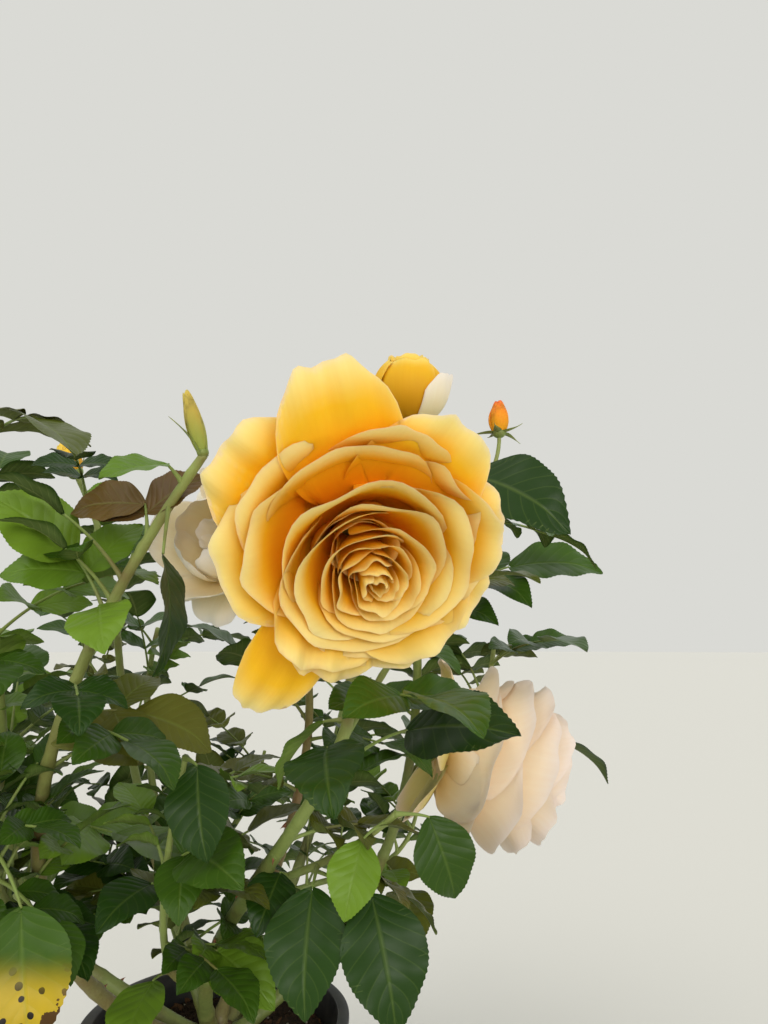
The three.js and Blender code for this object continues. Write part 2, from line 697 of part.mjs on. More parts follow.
// Flower stalk: on from its mass's stem, or a side limb of a cane.
function stalkOf(bloom) {
  const frame = flowerFrame(bloom);
  const end = frame.seat.clone().addScaledVector(frame.axis, -bloom.hip * 0.6);
  const late = end.clone().addScaledVector(frame.axis, -bloom.back);
  if (bloom.grows) {
    const stem = stemOf(MASSES[bloom.grows]);
    const along = stem.curve.getTangent(1);
    const start = stem.curve.getPoint(1).addScaledVector(along, GAP);
    const lead = start.clone().addScaledVector(along, bloom.lead);
    return new THREE.CubicBezierCurve3(start, lead, late, end);
  }
  const cane = CANES[bloom.from];
  const out = heading(bloom.az0, bloom.el0);
  const start = sideStart(caneCurve(cane), bloom.at, caneRadius(cane, bloom.at), out, bloom.stalk[0]);
  const lead = start.clone().addScaledVector(out, bloom.lead);
  return new THREE.CubicBezierCurve3(start, lead, late, end);
}

function bloomParts(bloom) {
  const frame = flowerFrame(bloom);
  const back = frame.seat.clone().addScaledVector(frame.axis, -bloom.hip * 1.3);
  const parts = [
    limb(stalkOf(bloom), 0, 1, bloom.stalk[0], bloom.stalk[1], 5, 6),
    egg(back, frame.axis, bloom.hip, bloom.hip * 2.1, 0, 7, 4),
    egg(frame.seat, frame.axis, bloom.heart.radius, bloom.heart.height, -0.3, 8, 5),
    ...sepals(frame.seat, frame.axis, bloom.sepals, rad(bloom.sepalLean), bloom.hip * 0.6),
  ];
  bloom.rings.forEach((ring, layer) => {
    for (let i = 0; i < (ring.count || ring.turns.length); i += 1) {
      const turn = rad(ring.turns ? ring.turns[i] : ring.turn + (360 * i) / ring.count);
      const grow = ring.reach ? ring.reach[i] : 1 + 0.06 * Math.sin(2.1 * i + layer);
      const raised = { ...frame, seat: frame.seat.clone().addScaledVector(frame.axis, (i % 2) * 3) };
      parts.push(petal(raised, ring, turn, grow, 1.3));
    }
  });
  return parts.map(solid);
}

// ---------------------------------------------------------------- pot, compost, collar
function turned(profile, sides) {
  const lathe = new THREE.LatheGeometry(profile.map(([r, z]) => new THREE.Vector2(r, z)), sides);
  return lathe.rotateX(Math.PI / 2);
}

function potInside(z) {
  const share = (z - POT.floor) / (POT.height - POT.floor);
  return POT.base - POT.wall + (POT.wallTop - POT.base) * share;
}

function potBody() {
  const bandFoot = POT.height - POT.bandDepth;
  const wallAt = (z) => potInside(z) + POT.wall;
  const shell = solid(turned([
    [0, 0], [POT.base - 2, 0], [POT.base, 2], [wallAt(bandFoot), bandFoot], [POT.band, bandFoot + 1.5],
    [POT.band + 0.4, POT.height - 4], [POT.rim, POT.height - 3], [POT.rim, POT.height - 0.8],
    [POT.rim - 0.8, POT.height], [potInside(POT.height) + 0.4, POT.height],
    [potInside(POT.height) - 0.2, POT.height - 0.8], [potInside(POT.floor), POT.floor], [0, POT.floor],
  ], POT.sides));
  const drains = [];
  for (let i = 0; i < POT.drains; i += 1) {
    const turn = (2 * Math.PI * i) / POT.drains;
    const hole = new THREE.CylinderGeometry(POT.drainRadius, POT.drainRadius, POT.floor * 4, 8);
    hole.rotateX(Math.PI / 2);
    hole.translate(POT.drainRing * Math.cos(turn), POT.drainRing * Math.sin(turn), 0);
    drains.push(solid(hole));
  }
  return shell.subtract(wasm.Manifold.union(drains));
}

// Filling with a lumpy top that stays level under the collar.
function compostBody() {
  const edge = (z) => potInside(z) - GAP;
  const rings = [60, 47, 34, 22, 0];
  const body = turned([
    [0, POT.floor + GAP], [edge(POT.floor + GAP), POT.floor + GAP], [edge(GROUND - 3), GROUND - 3],
    ...rings.map((r) => [r, GROUND]),
  ], POT.sides);
  return solid(bend(body, (x, y, z) => {
    const r = Math.hypot(x, y);
    const lump = 1.5 + Math.sin(0.19 * x + 1.3) * Math.cos(0.16 * y) + 0.5 * Math.sin(0.31 * (x - y));
    const drop = z > GROUND - 1 && r > 24 ? Math.max(0, lump) : 0;
    return new THREE.Vector3(x, y, z - drop);
  }));
}

function collarBody() {
  const dome = [86, 72, 58, 44, 30, 16].map((el) => [
    COLLAR.radius * Math.cos(rad(el)), GROUND + COLLAR.radius * Math.sin(rad(el)),
  ]);
  return solid(turned([
    [0, GROUND + GAP], [COLLAR.flare, GROUND + GAP],
    [COLLAR.radius + 1.2, GROUND + COLLAR.flareHeight], ...dome.reverse(), [0, GROUND + COLLAR.radius],
  ], COLLAR.sides));
}

// ---------------------------------------------------------------- assembly
const LOOKS = {
  pot: { color: 0x26282b, roughness: 0.5, metalness: 0 },
  compost: { color: 0x33251b, roughness: 1, metalness: 0 },
  wood: { color: 0x6b7a3c, roughness: 0.7, metalness: 0 },
  foliage: { color: 0x35591f, roughness: 0.45, metalness: 0 },
};

const group = new THREE.Group();
group.name = 'rose_bush';

const pot = potBody();
const compost = compostBody();
const collar = collarBody();
keep(pot, 'pot');
keep(compost, 'compost');
keep(collar, 'root_collar');
group.add(toMesh('pot', pot, LOOKS.pot));
group.add(toMesh('compost', compost, LOOKS.compost));
group.add(toMesh('root_collar', collar, LOOKS.wood));

for (const [name, cane] of Object.entries(CANES)) {
  const body = solid(limb(caneCurve(cane), 0, cane.bare, cane.foot, caneRadius(cane, cane.bare), 7, 7));
  keep(body, name);
  group.add(toMesh(name, body, LOOKS.wood));
}

// Stems and shoots first, then the blooms, so that the leaves can keep clear of both.
const grown = Object.entries(MASSES).map(([name, mass]) => {
  const stem = stemOf(mass);
  const twigs = [stem, ...mass.shoots.map((shoot) => shootOf(stem, shoot))];
  const parts = twigs.map((twig, i) => {
    const body = solid(limb(twig.curve, twig.t0, twig.t1, twig.r0, twig.r1, 5, i === 0 ? 6 : 4));
    keep(body, name + '_' + i);
    return body;
  });
  const heads = [[stem, mass.bud], ...mass.shoots.map((shoot, i) => [twigs[i + 1], shoot.bud])];
  heads.filter(([, bud]) => bud).forEach(([twig, bud]) => {
    budParts(twig, bud).forEach((part) => {
      keep(part, name + '_' + twigs.indexOf(twig));
      parts.push(part);
    });
  });
  return { name, mass, twigs, parts };
});

for (const [name, bloom] of Object.entries(BLOOMS)) {
  const parts = bloomParts(bloom);
  parts.forEach((part) => keep(part, name));
  group.add(toMesh(name, fuse(parts), { color: bloom.colour, roughness: 0.7, metalness: 0 }));
}

grown.forEach(({ name, mass, twigs, parts }, m) => {
  mass.picked.forEach((leaf, k) => {
    const twig = twigs[leaf.on];
    const start = twig.curve.getPoint(twig.t0 + (twig.t1 - twig.t0) * leaf.at);
    const roll = dice(m * 7919 + k * 104729 + 5);
    const plan = leafPlan(start, above(leaf.tip), leaf.rise, heading(...leaf.face), leaf.blade, leaf.count, roll);
    parts.push(...tryLeaf(plan, name + '_' + leaf.on, LEAF.fine));
  });
});

grown.forEach(({ name, mass, twigs, parts }, m) => {
  [mass.crop, mass.extra].filter(Boolean).forEach((crop) => {
    for (let k = 0; k < crop.count; k += 1) {
      let added = [];
      for (let attempt = 0; attempt < LEAF.tries && added.length === 0; attempt += 1) {
        const seed = m * 7919 + k * 104729 + crop.on * 1299709 + 12345;
        added = tryLeaf(ruleLeaf(twigs[crop.on], crop, k, attempt, seed), name + '_' + crop.on, LEAF.coarse);
      }
      parts.push(...added);
    }
  });
  group.add(toMesh(name, fuse(parts), LOOKS.foliage));
});

export default group;
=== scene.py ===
# %% [markdown]
# # A rose bush in a nursery pot
#
# A container rose is a clump of arching canes that rise from one woody collar. The canes carry
# side shoots, the shoots carry compound leaves of three or five leaflets, and the strongest
# shoots end in a bloom or a bud.
#
# This lesson dresses a plain solid model of such a bush. The solid model is loaded as a fixed
# frame. Every limb and every leaf below is grown again by the same rule that made the frame, so
# the fine pieces stand exactly where the solid ones do, and then the rule is carried on to
# finer growth.

import math

import bmesh
import bpy
import numpy as np
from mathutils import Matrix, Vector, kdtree


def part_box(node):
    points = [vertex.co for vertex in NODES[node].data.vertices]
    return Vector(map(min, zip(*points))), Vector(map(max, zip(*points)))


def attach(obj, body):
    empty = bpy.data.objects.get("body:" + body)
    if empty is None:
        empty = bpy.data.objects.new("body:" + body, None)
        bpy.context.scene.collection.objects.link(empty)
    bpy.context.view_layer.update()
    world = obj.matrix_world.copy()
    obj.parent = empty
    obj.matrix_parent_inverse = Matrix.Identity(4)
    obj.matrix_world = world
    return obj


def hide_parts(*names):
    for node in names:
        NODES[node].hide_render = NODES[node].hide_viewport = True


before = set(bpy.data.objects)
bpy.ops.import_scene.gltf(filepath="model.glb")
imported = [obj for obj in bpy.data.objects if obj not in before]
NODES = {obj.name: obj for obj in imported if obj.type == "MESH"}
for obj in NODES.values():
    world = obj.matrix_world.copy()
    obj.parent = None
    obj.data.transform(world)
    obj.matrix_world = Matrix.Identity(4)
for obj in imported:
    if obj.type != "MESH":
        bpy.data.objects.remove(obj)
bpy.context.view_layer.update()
print("nodes in the frame:", len(NODES))

# %% [markdown]
# ## Small helpers
#
# The growing rule works in millimetres, as a nursery would measure a plant, and Blender works in
# metres, so one number joins the two. Directions are given by a bearing and a height above the
# horizon. The dice are a tiny linear congruential generator: the same seed gives the same plant
# on every machine.

# %% Numbers and directions
MM = 0.001         # one millimetre in Blender's metres
GAP = 0.3          # clearance between a limb and what it grows from, in millimetres
GROUND = 118.0     # height of the compost above the pot's foot, in millimetres
SPIRAL = 137.5     # degrees from one leaf to the next along a twig
UP = np.array([0.0, 0.0, 1.0])
SIDEWAYS = np.array([1.0, 0.0, 0.0])


def unit(v):
    return v / np.linalg.norm(v, axis=-1, keepdims=True)


def heading(az, el):
    """The unit direction with a bearing and a height above the horizon, both in degrees."""
    az, el = math.radians(az), math.radians(el)
    return np.array([math.cos(el) * math.cos(az), math.cos(el) * math.sin(az), math.sin(el)])


def above(point):
    """A point whose height is given from the compost, in the frame's own millimetres."""
    return np.array(point, float) + GROUND * UP


def square(v, along):
    """The part of v square to the unit direction along, as a unit direction."""
    flat = v - along * np.dot(v, along)
    if np.dot(flat, flat) > 1e-6:
        return unit(flat)
    return square(np.array([0.9, 0.1, 0.3]), along)


def square_pair(axis):
    """Two unit directions square to an axis and to each other."""
    first = square(SIDEWAYS, axis)
    return first, np.cross(axis, first)


def dice(seed):
    """A roll that gives the next number from 0 to 1, the same on every machine."""
    state = seed % 4294967296

    def roll():
        nonlocal state
        state = (state * 1664525 + 1013904223) % 4294967296
        return state / 4294967296

    return roll


def smooth(low, high, x):
    """0 below low, 1 above high and an even S-shaped rise between them."""
    t = np.clip((x - low) / (high - low), 0, 1)
    return t * t * (3 - 2 * t)


print("one turn of the leaf spiral:", SPIRAL, "degrees")


# %% Curves
class Curve:
    """A Bezier curve through its first and last points, with points and tangents at any share."""

    def __init__(self, *points):
        self.points = [np.asarray(p, float) for p in points]

    def at(self, t):
        t = np.asarray(t, float)[..., None]
        rest = 1 - t
        if len(self.points) == 3:
            a, b, c = self.points
            return rest * rest * a + 2 * rest * t * b + t * t * c
        a, b, c, d = self.points
        return rest**3 * a + 3 * rest**2 * t * b + 3 * rest * t * t * c + t**3 * d

    def tangent(self, t):
        step = 0.0001
        low, high = np.clip(t - step, 0, 1), np.clip(t + step, 0, 1)
        return unit(self.at(high) - self.at(low))

    def length_to(self, shares):
        """Length of the curve up to a share, or up to each of several shares, from its foot."""
        fine = np.linspace(0, 1, 200)
        steps = np.linalg.norm(np.diff(self.at(fine), axis=0), axis=1)
        return np.interp(shares, fine, np.concatenate([[0], np.cumsum(steps)]))


print("length of a straight test curve:", round(Curve((0, 0, 0), (0, 0, 5), (0, 0, 10)).length_to(1.0), 3))

# %% [markdown]
# ## Sizes of the plant
#
# These are the driving sizes of the frame, repeated here because a scene can't read the
# program that made it. Each cane leaves the collar in a direction, heads for its arch and ends at
# its tip. Each mass of leaves either carries on from the bare part of a cane or starts as a side
# limb. Heights are measured from the compost.

# %% Sizes of the canes
CANES = {
    "cane_front": dict(az=-101, el=55, reach=91, arch=(82, -162, 161), tip=(85, -170, 212),
                       foot=4.3, end=2.4, bare=0.6),
    "cane_front_left": dict(az=-140, el=28, reach=172, arch=(-36, -158, 236), tip=(25, -189, 310),
                            foot=4.2, end=1.9, bare=0.52),
    "cane_left": dict(az=-185, el=26, reach=186, arch=(-69, -76, 83), tip=(-98, -141, 320),
                      foot=4.4, end=2.0, bare=0.5),
    "cane_mid_left": dict(az=160, el=62, reach=231, arch=(-31, -67, 244), tip=(-73, -78, 326),
                          foot=3.0, end=1.5, bare=0.6),
    "cane_middle": dict(az=60, el=80, reach=20, arch=(99, -53, 211), tip=(37, -106, 261),
                        foot=3.3, end=1.8, bare=0.55),
    "cane_right": dict(az=20, el=30, reach=149, arch=(123, -24, 195), tip=(113, -75, 339),
                       foot=4.0, end=2.0, bare=0.6),
    "cane_back_left": dict(az=118, el=28, reach=120, arch=(-96, 96, 150), tip=(-84, 122, 246),
                           foot=4.0, end=1.9, bare=0.5),
    "cane_back_right": dict(az=68, el=30, reach=118, arch=(86, 98, 215), tip=(82, 112, 335),
                            foot=4.1, end=1.9, bare=0.5),
}
print("canes:", len(CANES))


# %% Leaves with a settled place
def leaf(on, at, tip, rise, blade, face, count, tint=None):
    """One leaf with a settled place: its twig, where it leaves it, where its tip is."""
    return dict(on=on, at=at, tip=tip, rise=rise, blade=blade, face=face, count=count, tint=tint)


def crop(on, count, blade, turn):
    """Leaves dealt out by the rule along one twig."""
    return dict(on=on, count=count, blade=blade, turn=turn)


print("a row of leaves:", crop(0, 2, (36, 40), 60))

# %% Masses of leaves
MASSES = {
    "foliage_front": dict(
        grows="cane_front", shoots=[dict(at=0.6, tip=(124, -170, 283))],
        picked=[
            leaf(1, 1, (172, -196, 279), 36, 50, (-90, 25), 1, "deep"),
            leaf(0, 0.36, (147, -209, 203), 14, 48, (-85, 40), 1, "deep"),
            leaf(0, 0.5, (80, -208, 176), 22, 46, (-95, 20), 1, "deep"),
            leaf(0, 0.86, (54, -163, 176), 10, 34, (170, 30), 1),
            leaf(0, 0.74, (161, -140, 224), 14, 42, (-90, 45), 3, "olive"),
        ],
        crops=[crop(0, 2, (36, 40), 60)]),
    "foliage_front_left": dict(
        grows="cane_front_left", shoots=[],
        picked=[
            leaf(0, 0.9, (-9, -210, 296), 12, 40, (-80, 60), 1, "fresh"),
            leaf(0, 0.72, (-35, -174, 290), 22, 38, (-95, 35), 3, "bronze"),
            leaf(0, 0.83, (13, -198, 222), 10, 46, (0, 12), 1, "deep"),
            leaf(0, 0.5, (-66, -180, 296), 8, 42, (-90, 30), 3, "fresh"),
            leaf(0, 0.44, (-8, -196, 232), 22, 40, (-90, 35), 1, "fresh"),
            leaf(0, 0.2, (22, -136, 188), 10, 38, (-90, 50), 3, "olive"),
        ],
        crops=[crop(0, 1, (38, 34), 60)]),
    "foliage_left": dict(
        grows="cane_left", shoots=[dict(at=0.45, tip=(-150, -95, 225))],
        picked=[leaf(0, 1, (-26, -191, 310), 18, 42, (0, 88), 5, "olive")],
        crops=[crop(0, 6, (46, 38), 150), crop(1, 3, (42, 38), 20)]),
    "foliage_mid_left": dict(
        grows="cane_mid_left", shoots=[dict(at=0.35, tip=(-70, -64, 280))],
        picked=[], crops=[crop(0, 2, (32, 30), 100)]),
    "foliage_middle": dict(
        grows="cane_middle", shoots=[], picked=[], crops=[crop(0, 4, (42, 36), 10)]),
    "foliage_right": dict(
        grows="cane_right", shoots=[dict(at=0.5, tip=(164, -76, 350))],
        picked=[leaf(0, 0.3, (226, -53, 277), 26, 48, (-90, 50), 5)],
        crops=[crop(0, 5, (44, 36), 40)]),
    "foliage_back_left": dict(
        grows="cane_back_left", shoots=[dict(at=0.4, tip=(-140, 118, 235))],
        picked=[], crops=[crop(0, 6, (46, 38), 75), crop(1, 3, (44, 38), 10)]),
    "foliage_back_right": dict(
        grows="cane_back_right", shoots=[dict(at=0.4, tip=(138, 110, 285))],
        picked=[], crops=[crop(0, 6, (46, 38), 15), crop(1, 3, (42, 38), 90)]),
    "foliage_low_right": dict(
        start="cane_front", at=0.4, az=-38, el=38, reach=30, arch=(70, -118, 128),
        tip=(104, -128, 158), foot=2.2, end=1.4, shoots=[],
        picked=[
            leaf(0, 0.72, (104, -152, 79), 14, 50, (-80, 20), 1, "deep"),
            leaf(0, 0.55, (66, -153, 84), 14, 48, (-100, 20), 1, "deep"),
            leaf(0, 0.3, (44, -140, 112), 12, 30, (-90, 15), 1, "deep"),
            leaf(0, 0.95, (82, -152, 121), 12, 30, (-95, 20), 1, "fresh"),
            leaf(0, 1, (132, -116, 118), 16, 38, (-85, 25), 1),
        ],
        crops=[crop(0, 1, (34, 32), 200)]),
    "foliage_low_front": dict(
        start="cane_front", at=0.2, az=-112, el=8, reach=40, arch=(-6, -120, 120),
        tip=(10, -138, 184), foot=2.1, end=1.3, shoots=[],
        picked=[
            leaf(0, 1, (26, -160, 146), 16, 42, (-95, 15), 1, "deep"),
            leaf(0, 0.93, (-40, -161, 195), 14, 42, (-95, 45), 3),
            leaf(0, 0.7, (42, -164, 138), 12, 40, (-85, 40), 3),
            leaf(0, 0.62, (-20, -152, 118), 14, 34, (-100, 25), 1, "deep"),
            leaf(0, 0.34, (50, -122, 76), 14, 36, (-90, 50), 3, "fresh"),
            leaf(0, 0.24, (-14, -132, 58), 14, 34, (-110, 45), 1, "fresh"),
        ],
        crops=[crop(0, 1, (34, 32), 30)]),
    "foliage_low_left": dict(
        start="cane_front_left", at=0.33, az=-120, el=12, reach=22, arch=(-72, -140, 138),
        tip=(-64, -162, 168), foot=2.1, end=1.3, closer=0.8, shoots=[],
        picked=[leaf(0, 0.8, (-29, -184, 86), 16, 48, (-80, 20), 1, "yellow")],
        crops=[crop(0, 4, (40, 38), 130)]),
    "foliage_far_left": dict(
        start="cane_left", at=0.3, az=170, el=34, reach=45, arch=(-168, 10, 130),
        tip=(-168, -8, 240), foot=2.8, end=1.5, closer=1.3,
        shoots=[dict(at=0.5, tip=(-176, 45, 190))],
        picked=[], crops=[crop(0, 6, (44, 38), 120), crop(1, 3, (40, 36), 60)]),
    "foliage_low_back_left": dict(
        start="cane_back_left", at=0.22, az=150, el=20, reach=35, arch=(-110, 70, 70),
        tip=(-128, 78, 112), foot=2.2, end=1.3, shoots=[],
        picked=[], crops=[crop(0, 5, (42, 38), 90)]),
    "foliage_low_back": dict(
        start="cane_back_left", at=0.3, az=60, el=25, reach=35, arch=(-5, 120, 95),
        tip=(4, 128, 150), foot=2.2, end=1.3, shoots=[],
        picked=[], crops=[crop(0, 5, (42, 38), 30)]),
    "foliage_low_back_right": dict(
        start="cane_back_right", at=0.24, az=18, el=18, reach=35, arch=(112, 62, 72),
        tip=(122, 70, 118), foot=2.2, end=1.3, shoots=[],
        picked=[], crops=[crop(0, 5, (42, 38), 10)]),
    "foliage_side_right": dict(
        start="cane_right", at=0.5, az=12, el=52, reach=40, arch=(168, 22, 190),
        tip=(172, 20, 232), foot=2.5, end=1.4, shoots=[],
        picked=[], crops=[crop(0, 5, (42, 36), 60)]),
}

print("masses:", len(MASSES))

# %% Where the blooms sit
# The seat of each bloom, and the bearing and height that it faces.
SEATS = {
    "bloom_main": ((86, -207, 280), -71, -36),
    "bloom_cream": ((34, -128, 277), -118, 12),
    "bloom_yellow": ((112, -79, 356), -80, 80),
    "bloom_faded": ((131, -42, 178), 6, -16),
}
print("blooms:", len(SEATS))

# %% [markdown]
# ## Building meshes from arrays
#
# Leaves and petals are thousands of small curved sheets. Blender's own operators would be slow for
# that, so each sheet is worked out as one array of points and handed to Blender in one go.
#
# A living leaf has two sides that meet in a fine edge. `shell` makes that: two grids that share
# their outer edge, so the sheet is closed and has no thickness at its rim.

# %% Build one mesh
CRISP = math.radians(70)     # faces that meet at more than this keep a crisp edge between them


def build_mesh(name, points, quads, skin=None, uv=None, values=None, colours=None):
    """A mesh object from points in millimetres and faces of four corners: smooth, with crisp rims."""
    mesh = bpy.data.meshes.new(name)
    mesh.vertices.add(len(points))
    mesh.vertices.foreach_set("co", (points * MM).astype(np.float32).ravel())
    mesh.loops.add(quads.size)
    mesh.loops.foreach_set("vertex_index", quads.ravel().astype(np.int32))
    mesh.polygons.add(len(quads))
    mesh.polygons.foreach_set("loop_start", np.arange(0, quads.size, 4, dtype=np.int32))
    mesh.polygons.foreach_set("use_smooth", np.ones(len(quads), bool))
    if uv is not None:
        layer = mesh.uv_layers.new(name="surface")
        layer.data.foreach_set("uv", uv[quads.ravel()].astype(np.float32).ravel())
    for key, data in (values or {}).items():
        mesh.attributes.new(key, "FLOAT", "POINT").data.foreach_set("value", data.astype(np.float32))
    for key, data in (colours or {}).items():
        layer = mesh.attributes.new(key, "FLOAT_COLOR", "POINT")
        layer.data.foreach_set("color", data.astype(np.float32).ravel())
    mesh.update(calc_edges=True)
    mesh.set_sharp_from_angle(angle=CRISP)
    if skin:
        mesh.materials.append(skin)
    return placed(name, mesh)


def placed(name, mesh):
    """A new object for a mesh, a lamp or a lens, put in the scene."""
    piece = bpy.data.objects.new(name, mesh)
    bpy.context.scene.collection.objects.link(piece)
    return piece


def face_count(pieces):
    return sum(len(piece.data.polygons) for piece in pieces)


print("edges stay crisp above", round(math.degrees(CRISP)), "degrees")


# %% Two-sided sheets
def grid_faces(index):
    """The faces of four corners between the rows and columns of a grid of point numbers."""
    corners = index[:-1, :-1], index[1:, :-1], index[1:, 1:], index[:-1, 1:]
    return np.stack(corners, -1).reshape(-1, 4)


def shell(across, along):
    """Two grids with one shared edge: u across from -1 to 1, v along from 0 to 1, and the side."""
    u, v = np.meshgrid(np.linspace(-1, 1, across + 1), np.linspace(0, 1, along + 1), indexing="ij")
    upper = np.arange(u.size).reshape(u.shape)
    lower = upper.copy()
    lower[1:-1, 1:-1] = u.size + np.arange((across - 1) * (along - 1)).reshape(across - 1, along - 1)
    side = np.zeros(u.shape)
    side[1:-1, 1:-1] = 1
    inner_u, inner_v = u[1:-1, 1:-1].ravel(), v[1:-1, 1:-1].ravel()
    u, v = np.concatenate([u.ravel(), inner_u]), np.concatenate([v.ravel(), inner_v])
    return dict(
        u=u, v=v, uv=np.stack([u / 2 + 0.5, v], -1),
        side=np.concatenate([side.ravel(), -np.ones(inner_u.size)]),
        faces=np.vstack([grid_faces(upper), grid_faces(lower)[:, ::-1]]))


print("faces of a small sheet:", len(shell(4, 4)["faces"]))


# %% Many small meshes in one
def joined(store):
    return {key: np.concatenate(data) for key, data in store.items()}


class Heap:
    """Collects many small meshes of one kind and joins them into one object."""

    def __init__(self):
        self.points, self.faces, self.uv = [], [], []
        self.values, self.colours = {}, {}
        self.count = 0

    def add(self, points, faces, uv, values=None, colours=None):
        self.faces.append(faces + self.count)
        self.points.append(points)
        self.uv.append(uv)
        for store, given in ((self.values, values), (self.colours, colours)):
            for key, data in (given or {}).items():
                store.setdefault(key, []).append(data)
        self.count += len(points)

    def piece(self, name, skin):
        return build_mesh(name, np.concatenate(self.points), np.concatenate(self.faces), skin,
                          np.concatenate(self.uv), joined(self.values), joined(self.colours))


print("a heap starts with", Heap().count, "points")


# %% Closed rings and round limbs
def cap_faces(ring):
    """Closes a small ring of an even number of corners with four-sided faces."""
    half = len(ring) // 2
    return np.array([[ring[i], ring[i + 1], ring[-i - 2], ring[-i - 1]] for i in range(half - 1)])


def ring_faces(count, sides):
    """The faces of a row of rings, one after the other, with a cap at both ends."""
    ring = np.arange(count * sides).reshape(count, sides)
    wall = grid_faces(np.hstack([ring, ring[:, :1]]).T)
    return np.vstack([wall, cap_faces(ring[0, ::-1]), cap_faces(ring[-1])])


def ring_uv(lengths, turn):
    """The length along the limb and the share of a turn, for every point of its rings."""
    return np.stack([np.repeat(lengths, len(turn)), np.tile(turn / (2 * np.pi), len(lengths))], -1)


def tube(curve, first, last, radius, sides, step, relief=None, root=0.0):
    """A closed round tube along part of a curve, which may start further back by root.

    radius and relief take the length from the curve's foot in millimetres. The ends are domed.
    """
    spans = curve.length_to([first, last])
    count = max(3, int((spans[1] - spans[0]) / step))
    shares = np.linspace(first, last, count + 1)
    run, centre = curve.length_to(shares), curve.at(shares)
    if root:
        back = np.linspace(-root, 0, max(2, int(root / step)) + 1)[:-1]
        centre = np.vstack([centre[0] + back[:, None] * unit(centre[1] - centre[0]), centre])
        run = np.concatenate([run[0] + back, run])
    chord = unit(curve.at(last) - curve.at(first))
    level = square(np.eye(3)[0] if abs(chord[0]) < abs(chord[1]) else np.eye(3)[1], chord)
    tangent = unit(np.gradient(centre, axis=0))
    across = unit(level - tangent * (tangent @ level)[:, None])
    other = np.cross(tangent, across)
    turn = np.linspace(0, 2 * np.pi, sides, endpoint=False)
    r = radius(run)[:, None] * np.ones(sides)
    if relief is not None:
        r = r * (1 + relief(run[:, None], turn[None, :]))
    # Two more rings at each end, pushed out and drawn in, make the dome.
    end = len(run) - 1
    index = np.concatenate([[0, 0], np.arange(end + 1), [end, end]])
    push = np.zeros(len(index))
    push[[0, 1]] = r[0, 0] * np.array([-0.45, -0.3])
    push[[-2, -1]] = r[-1, 0] * np.array([0.3, 0.45])
    r = np.vstack([r[:1] * 0.04, r[:1] * 0.7, r, r[-1:] * 0.7, r[-1:] * 0.04])
    points = (centre[index] + tangent[index] * push[:, None])[:, None, :] + r[..., None] * (
        across[index][:, None, :] * np.cos(turn)[None, :, None]
        + other[index][:, None, :] * np.sin(turn)[None, :, None])
    return points.reshape(-1, 3), ring_faces(len(index), sides), ring_uv(run[index], turn)


print("faces of three eight-sided rings with their caps:", len(ring_faces(3, 8)))

# %% [markdown]
# ## Twigs and the leaf rule
#
# A rose leaf is compound: a leaf stalk with an end leaflet and one or two pairs beside it. Along a
# twig each leaf stands about 137 degrees round from the last, so no leaf shades the next one.
# A place is only used if the frame has a leaf there, which is known from the corner that the
# frame keeps at each leaflet's tip.

# %% Limbs and twigs
COLLAR_RADIUS = 15.0


def cane_curve(cane):
    out = heading(cane["az"], cane["el"])
    foot = GROUND * UP + out * (COLLAR_RADIUS + GAP)
    return Curve(foot, foot + out * cane["reach"], above(cane["arch"]), above(cane["tip"]))


def cane_radius(cane, t):
    return cane["foot"] + (cane["end"] - cane["foot"]) * t


def side_start(cane, at, out, foot, closer=0.0):
    """Where a side limb of radius foot starts, just clear of the cane that it leaves towards out."""
    root = cane_curve(cane)
    cos = abs(np.dot(root.tangent(at), out))
    reach = cane_radius(cane, at) + GAP - closer + foot * cos
    return root.at(at) + out * reach / math.sqrt(1 - cos * cos)


def stem_of(mass):
    """The stem of a mass: the rest of its cane, or a side limb that starts on a cane."""
    if "grows" in mass:
        cane = CANES[mass["grows"]]
        curve = cane_curve(cane)
        near, far = curve.at(cane["bare"]), curve.at(cane["bare"] + 0.001)
        first = cane["bare"] + GAP * 0.001 / np.linalg.norm(far - near)
        return dict(curve=curve, first=first, last=1.0, thick=cane_radius(cane, first), thin=cane["end"])
    out = heading(mass["az"], mass["el"])
    start = side_start(CANES[mass["start"]], mass["at"], out, mass["foot"], mass.get("closer", 0))
    curve = Curve(start, start + out * mass["reach"], above(mass["arch"]), above(mass["tip"]))
    return dict(curve=curve, first=0.0, last=1.0, thick=mass["foot"], thin=mass["end"])


def place_on(twig, share):
    """The place on a twig's curve at a share of the part that is the twig."""
    return twig["first"] + (twig["last"] - twig["first"]) * share


def shoot_of(stem, shoot):
    """A side shoot that leaves its stem forwards and turns up towards its tip."""
    t = place_on(stem, shoot["at"])
    start, tip = stem["curve"].at(t), above(shoot["tip"])
    span = np.linalg.norm(tip - start)
    lead = start + stem["curve"].tangent(t) * span * 0.15 + unit(tip - start) * span * 0.25
    late = tip - UP * span * 0.3
    return dict(curve=Curve(start, lead, late, tip), first=0.0, last=1.0, thick=1.5, thin=1.1)


TWIGS = {}
for name, mass in MASSES.items():
    stem = stem_of(mass)
    TWIGS[name] = [stem] + [shoot_of(stem, shoot) for shoot in mass["shoots"]]
print("twigs:", sum(map(len, TWIGS.values())))


# %% The leaf rule
STALK_LENGTH = 2.45      # from the twig to the end leaflet's tip, in lengths of a leaflet
SHORTER_STALK = 0.84     # how much of it is left from the fourth try on
PAIR_ANGLE = 62          # degrees between the leaf stalk and a side leaflet


def tip_of(blade):
    return blade["root"] + blade["along"] * blade["length"]


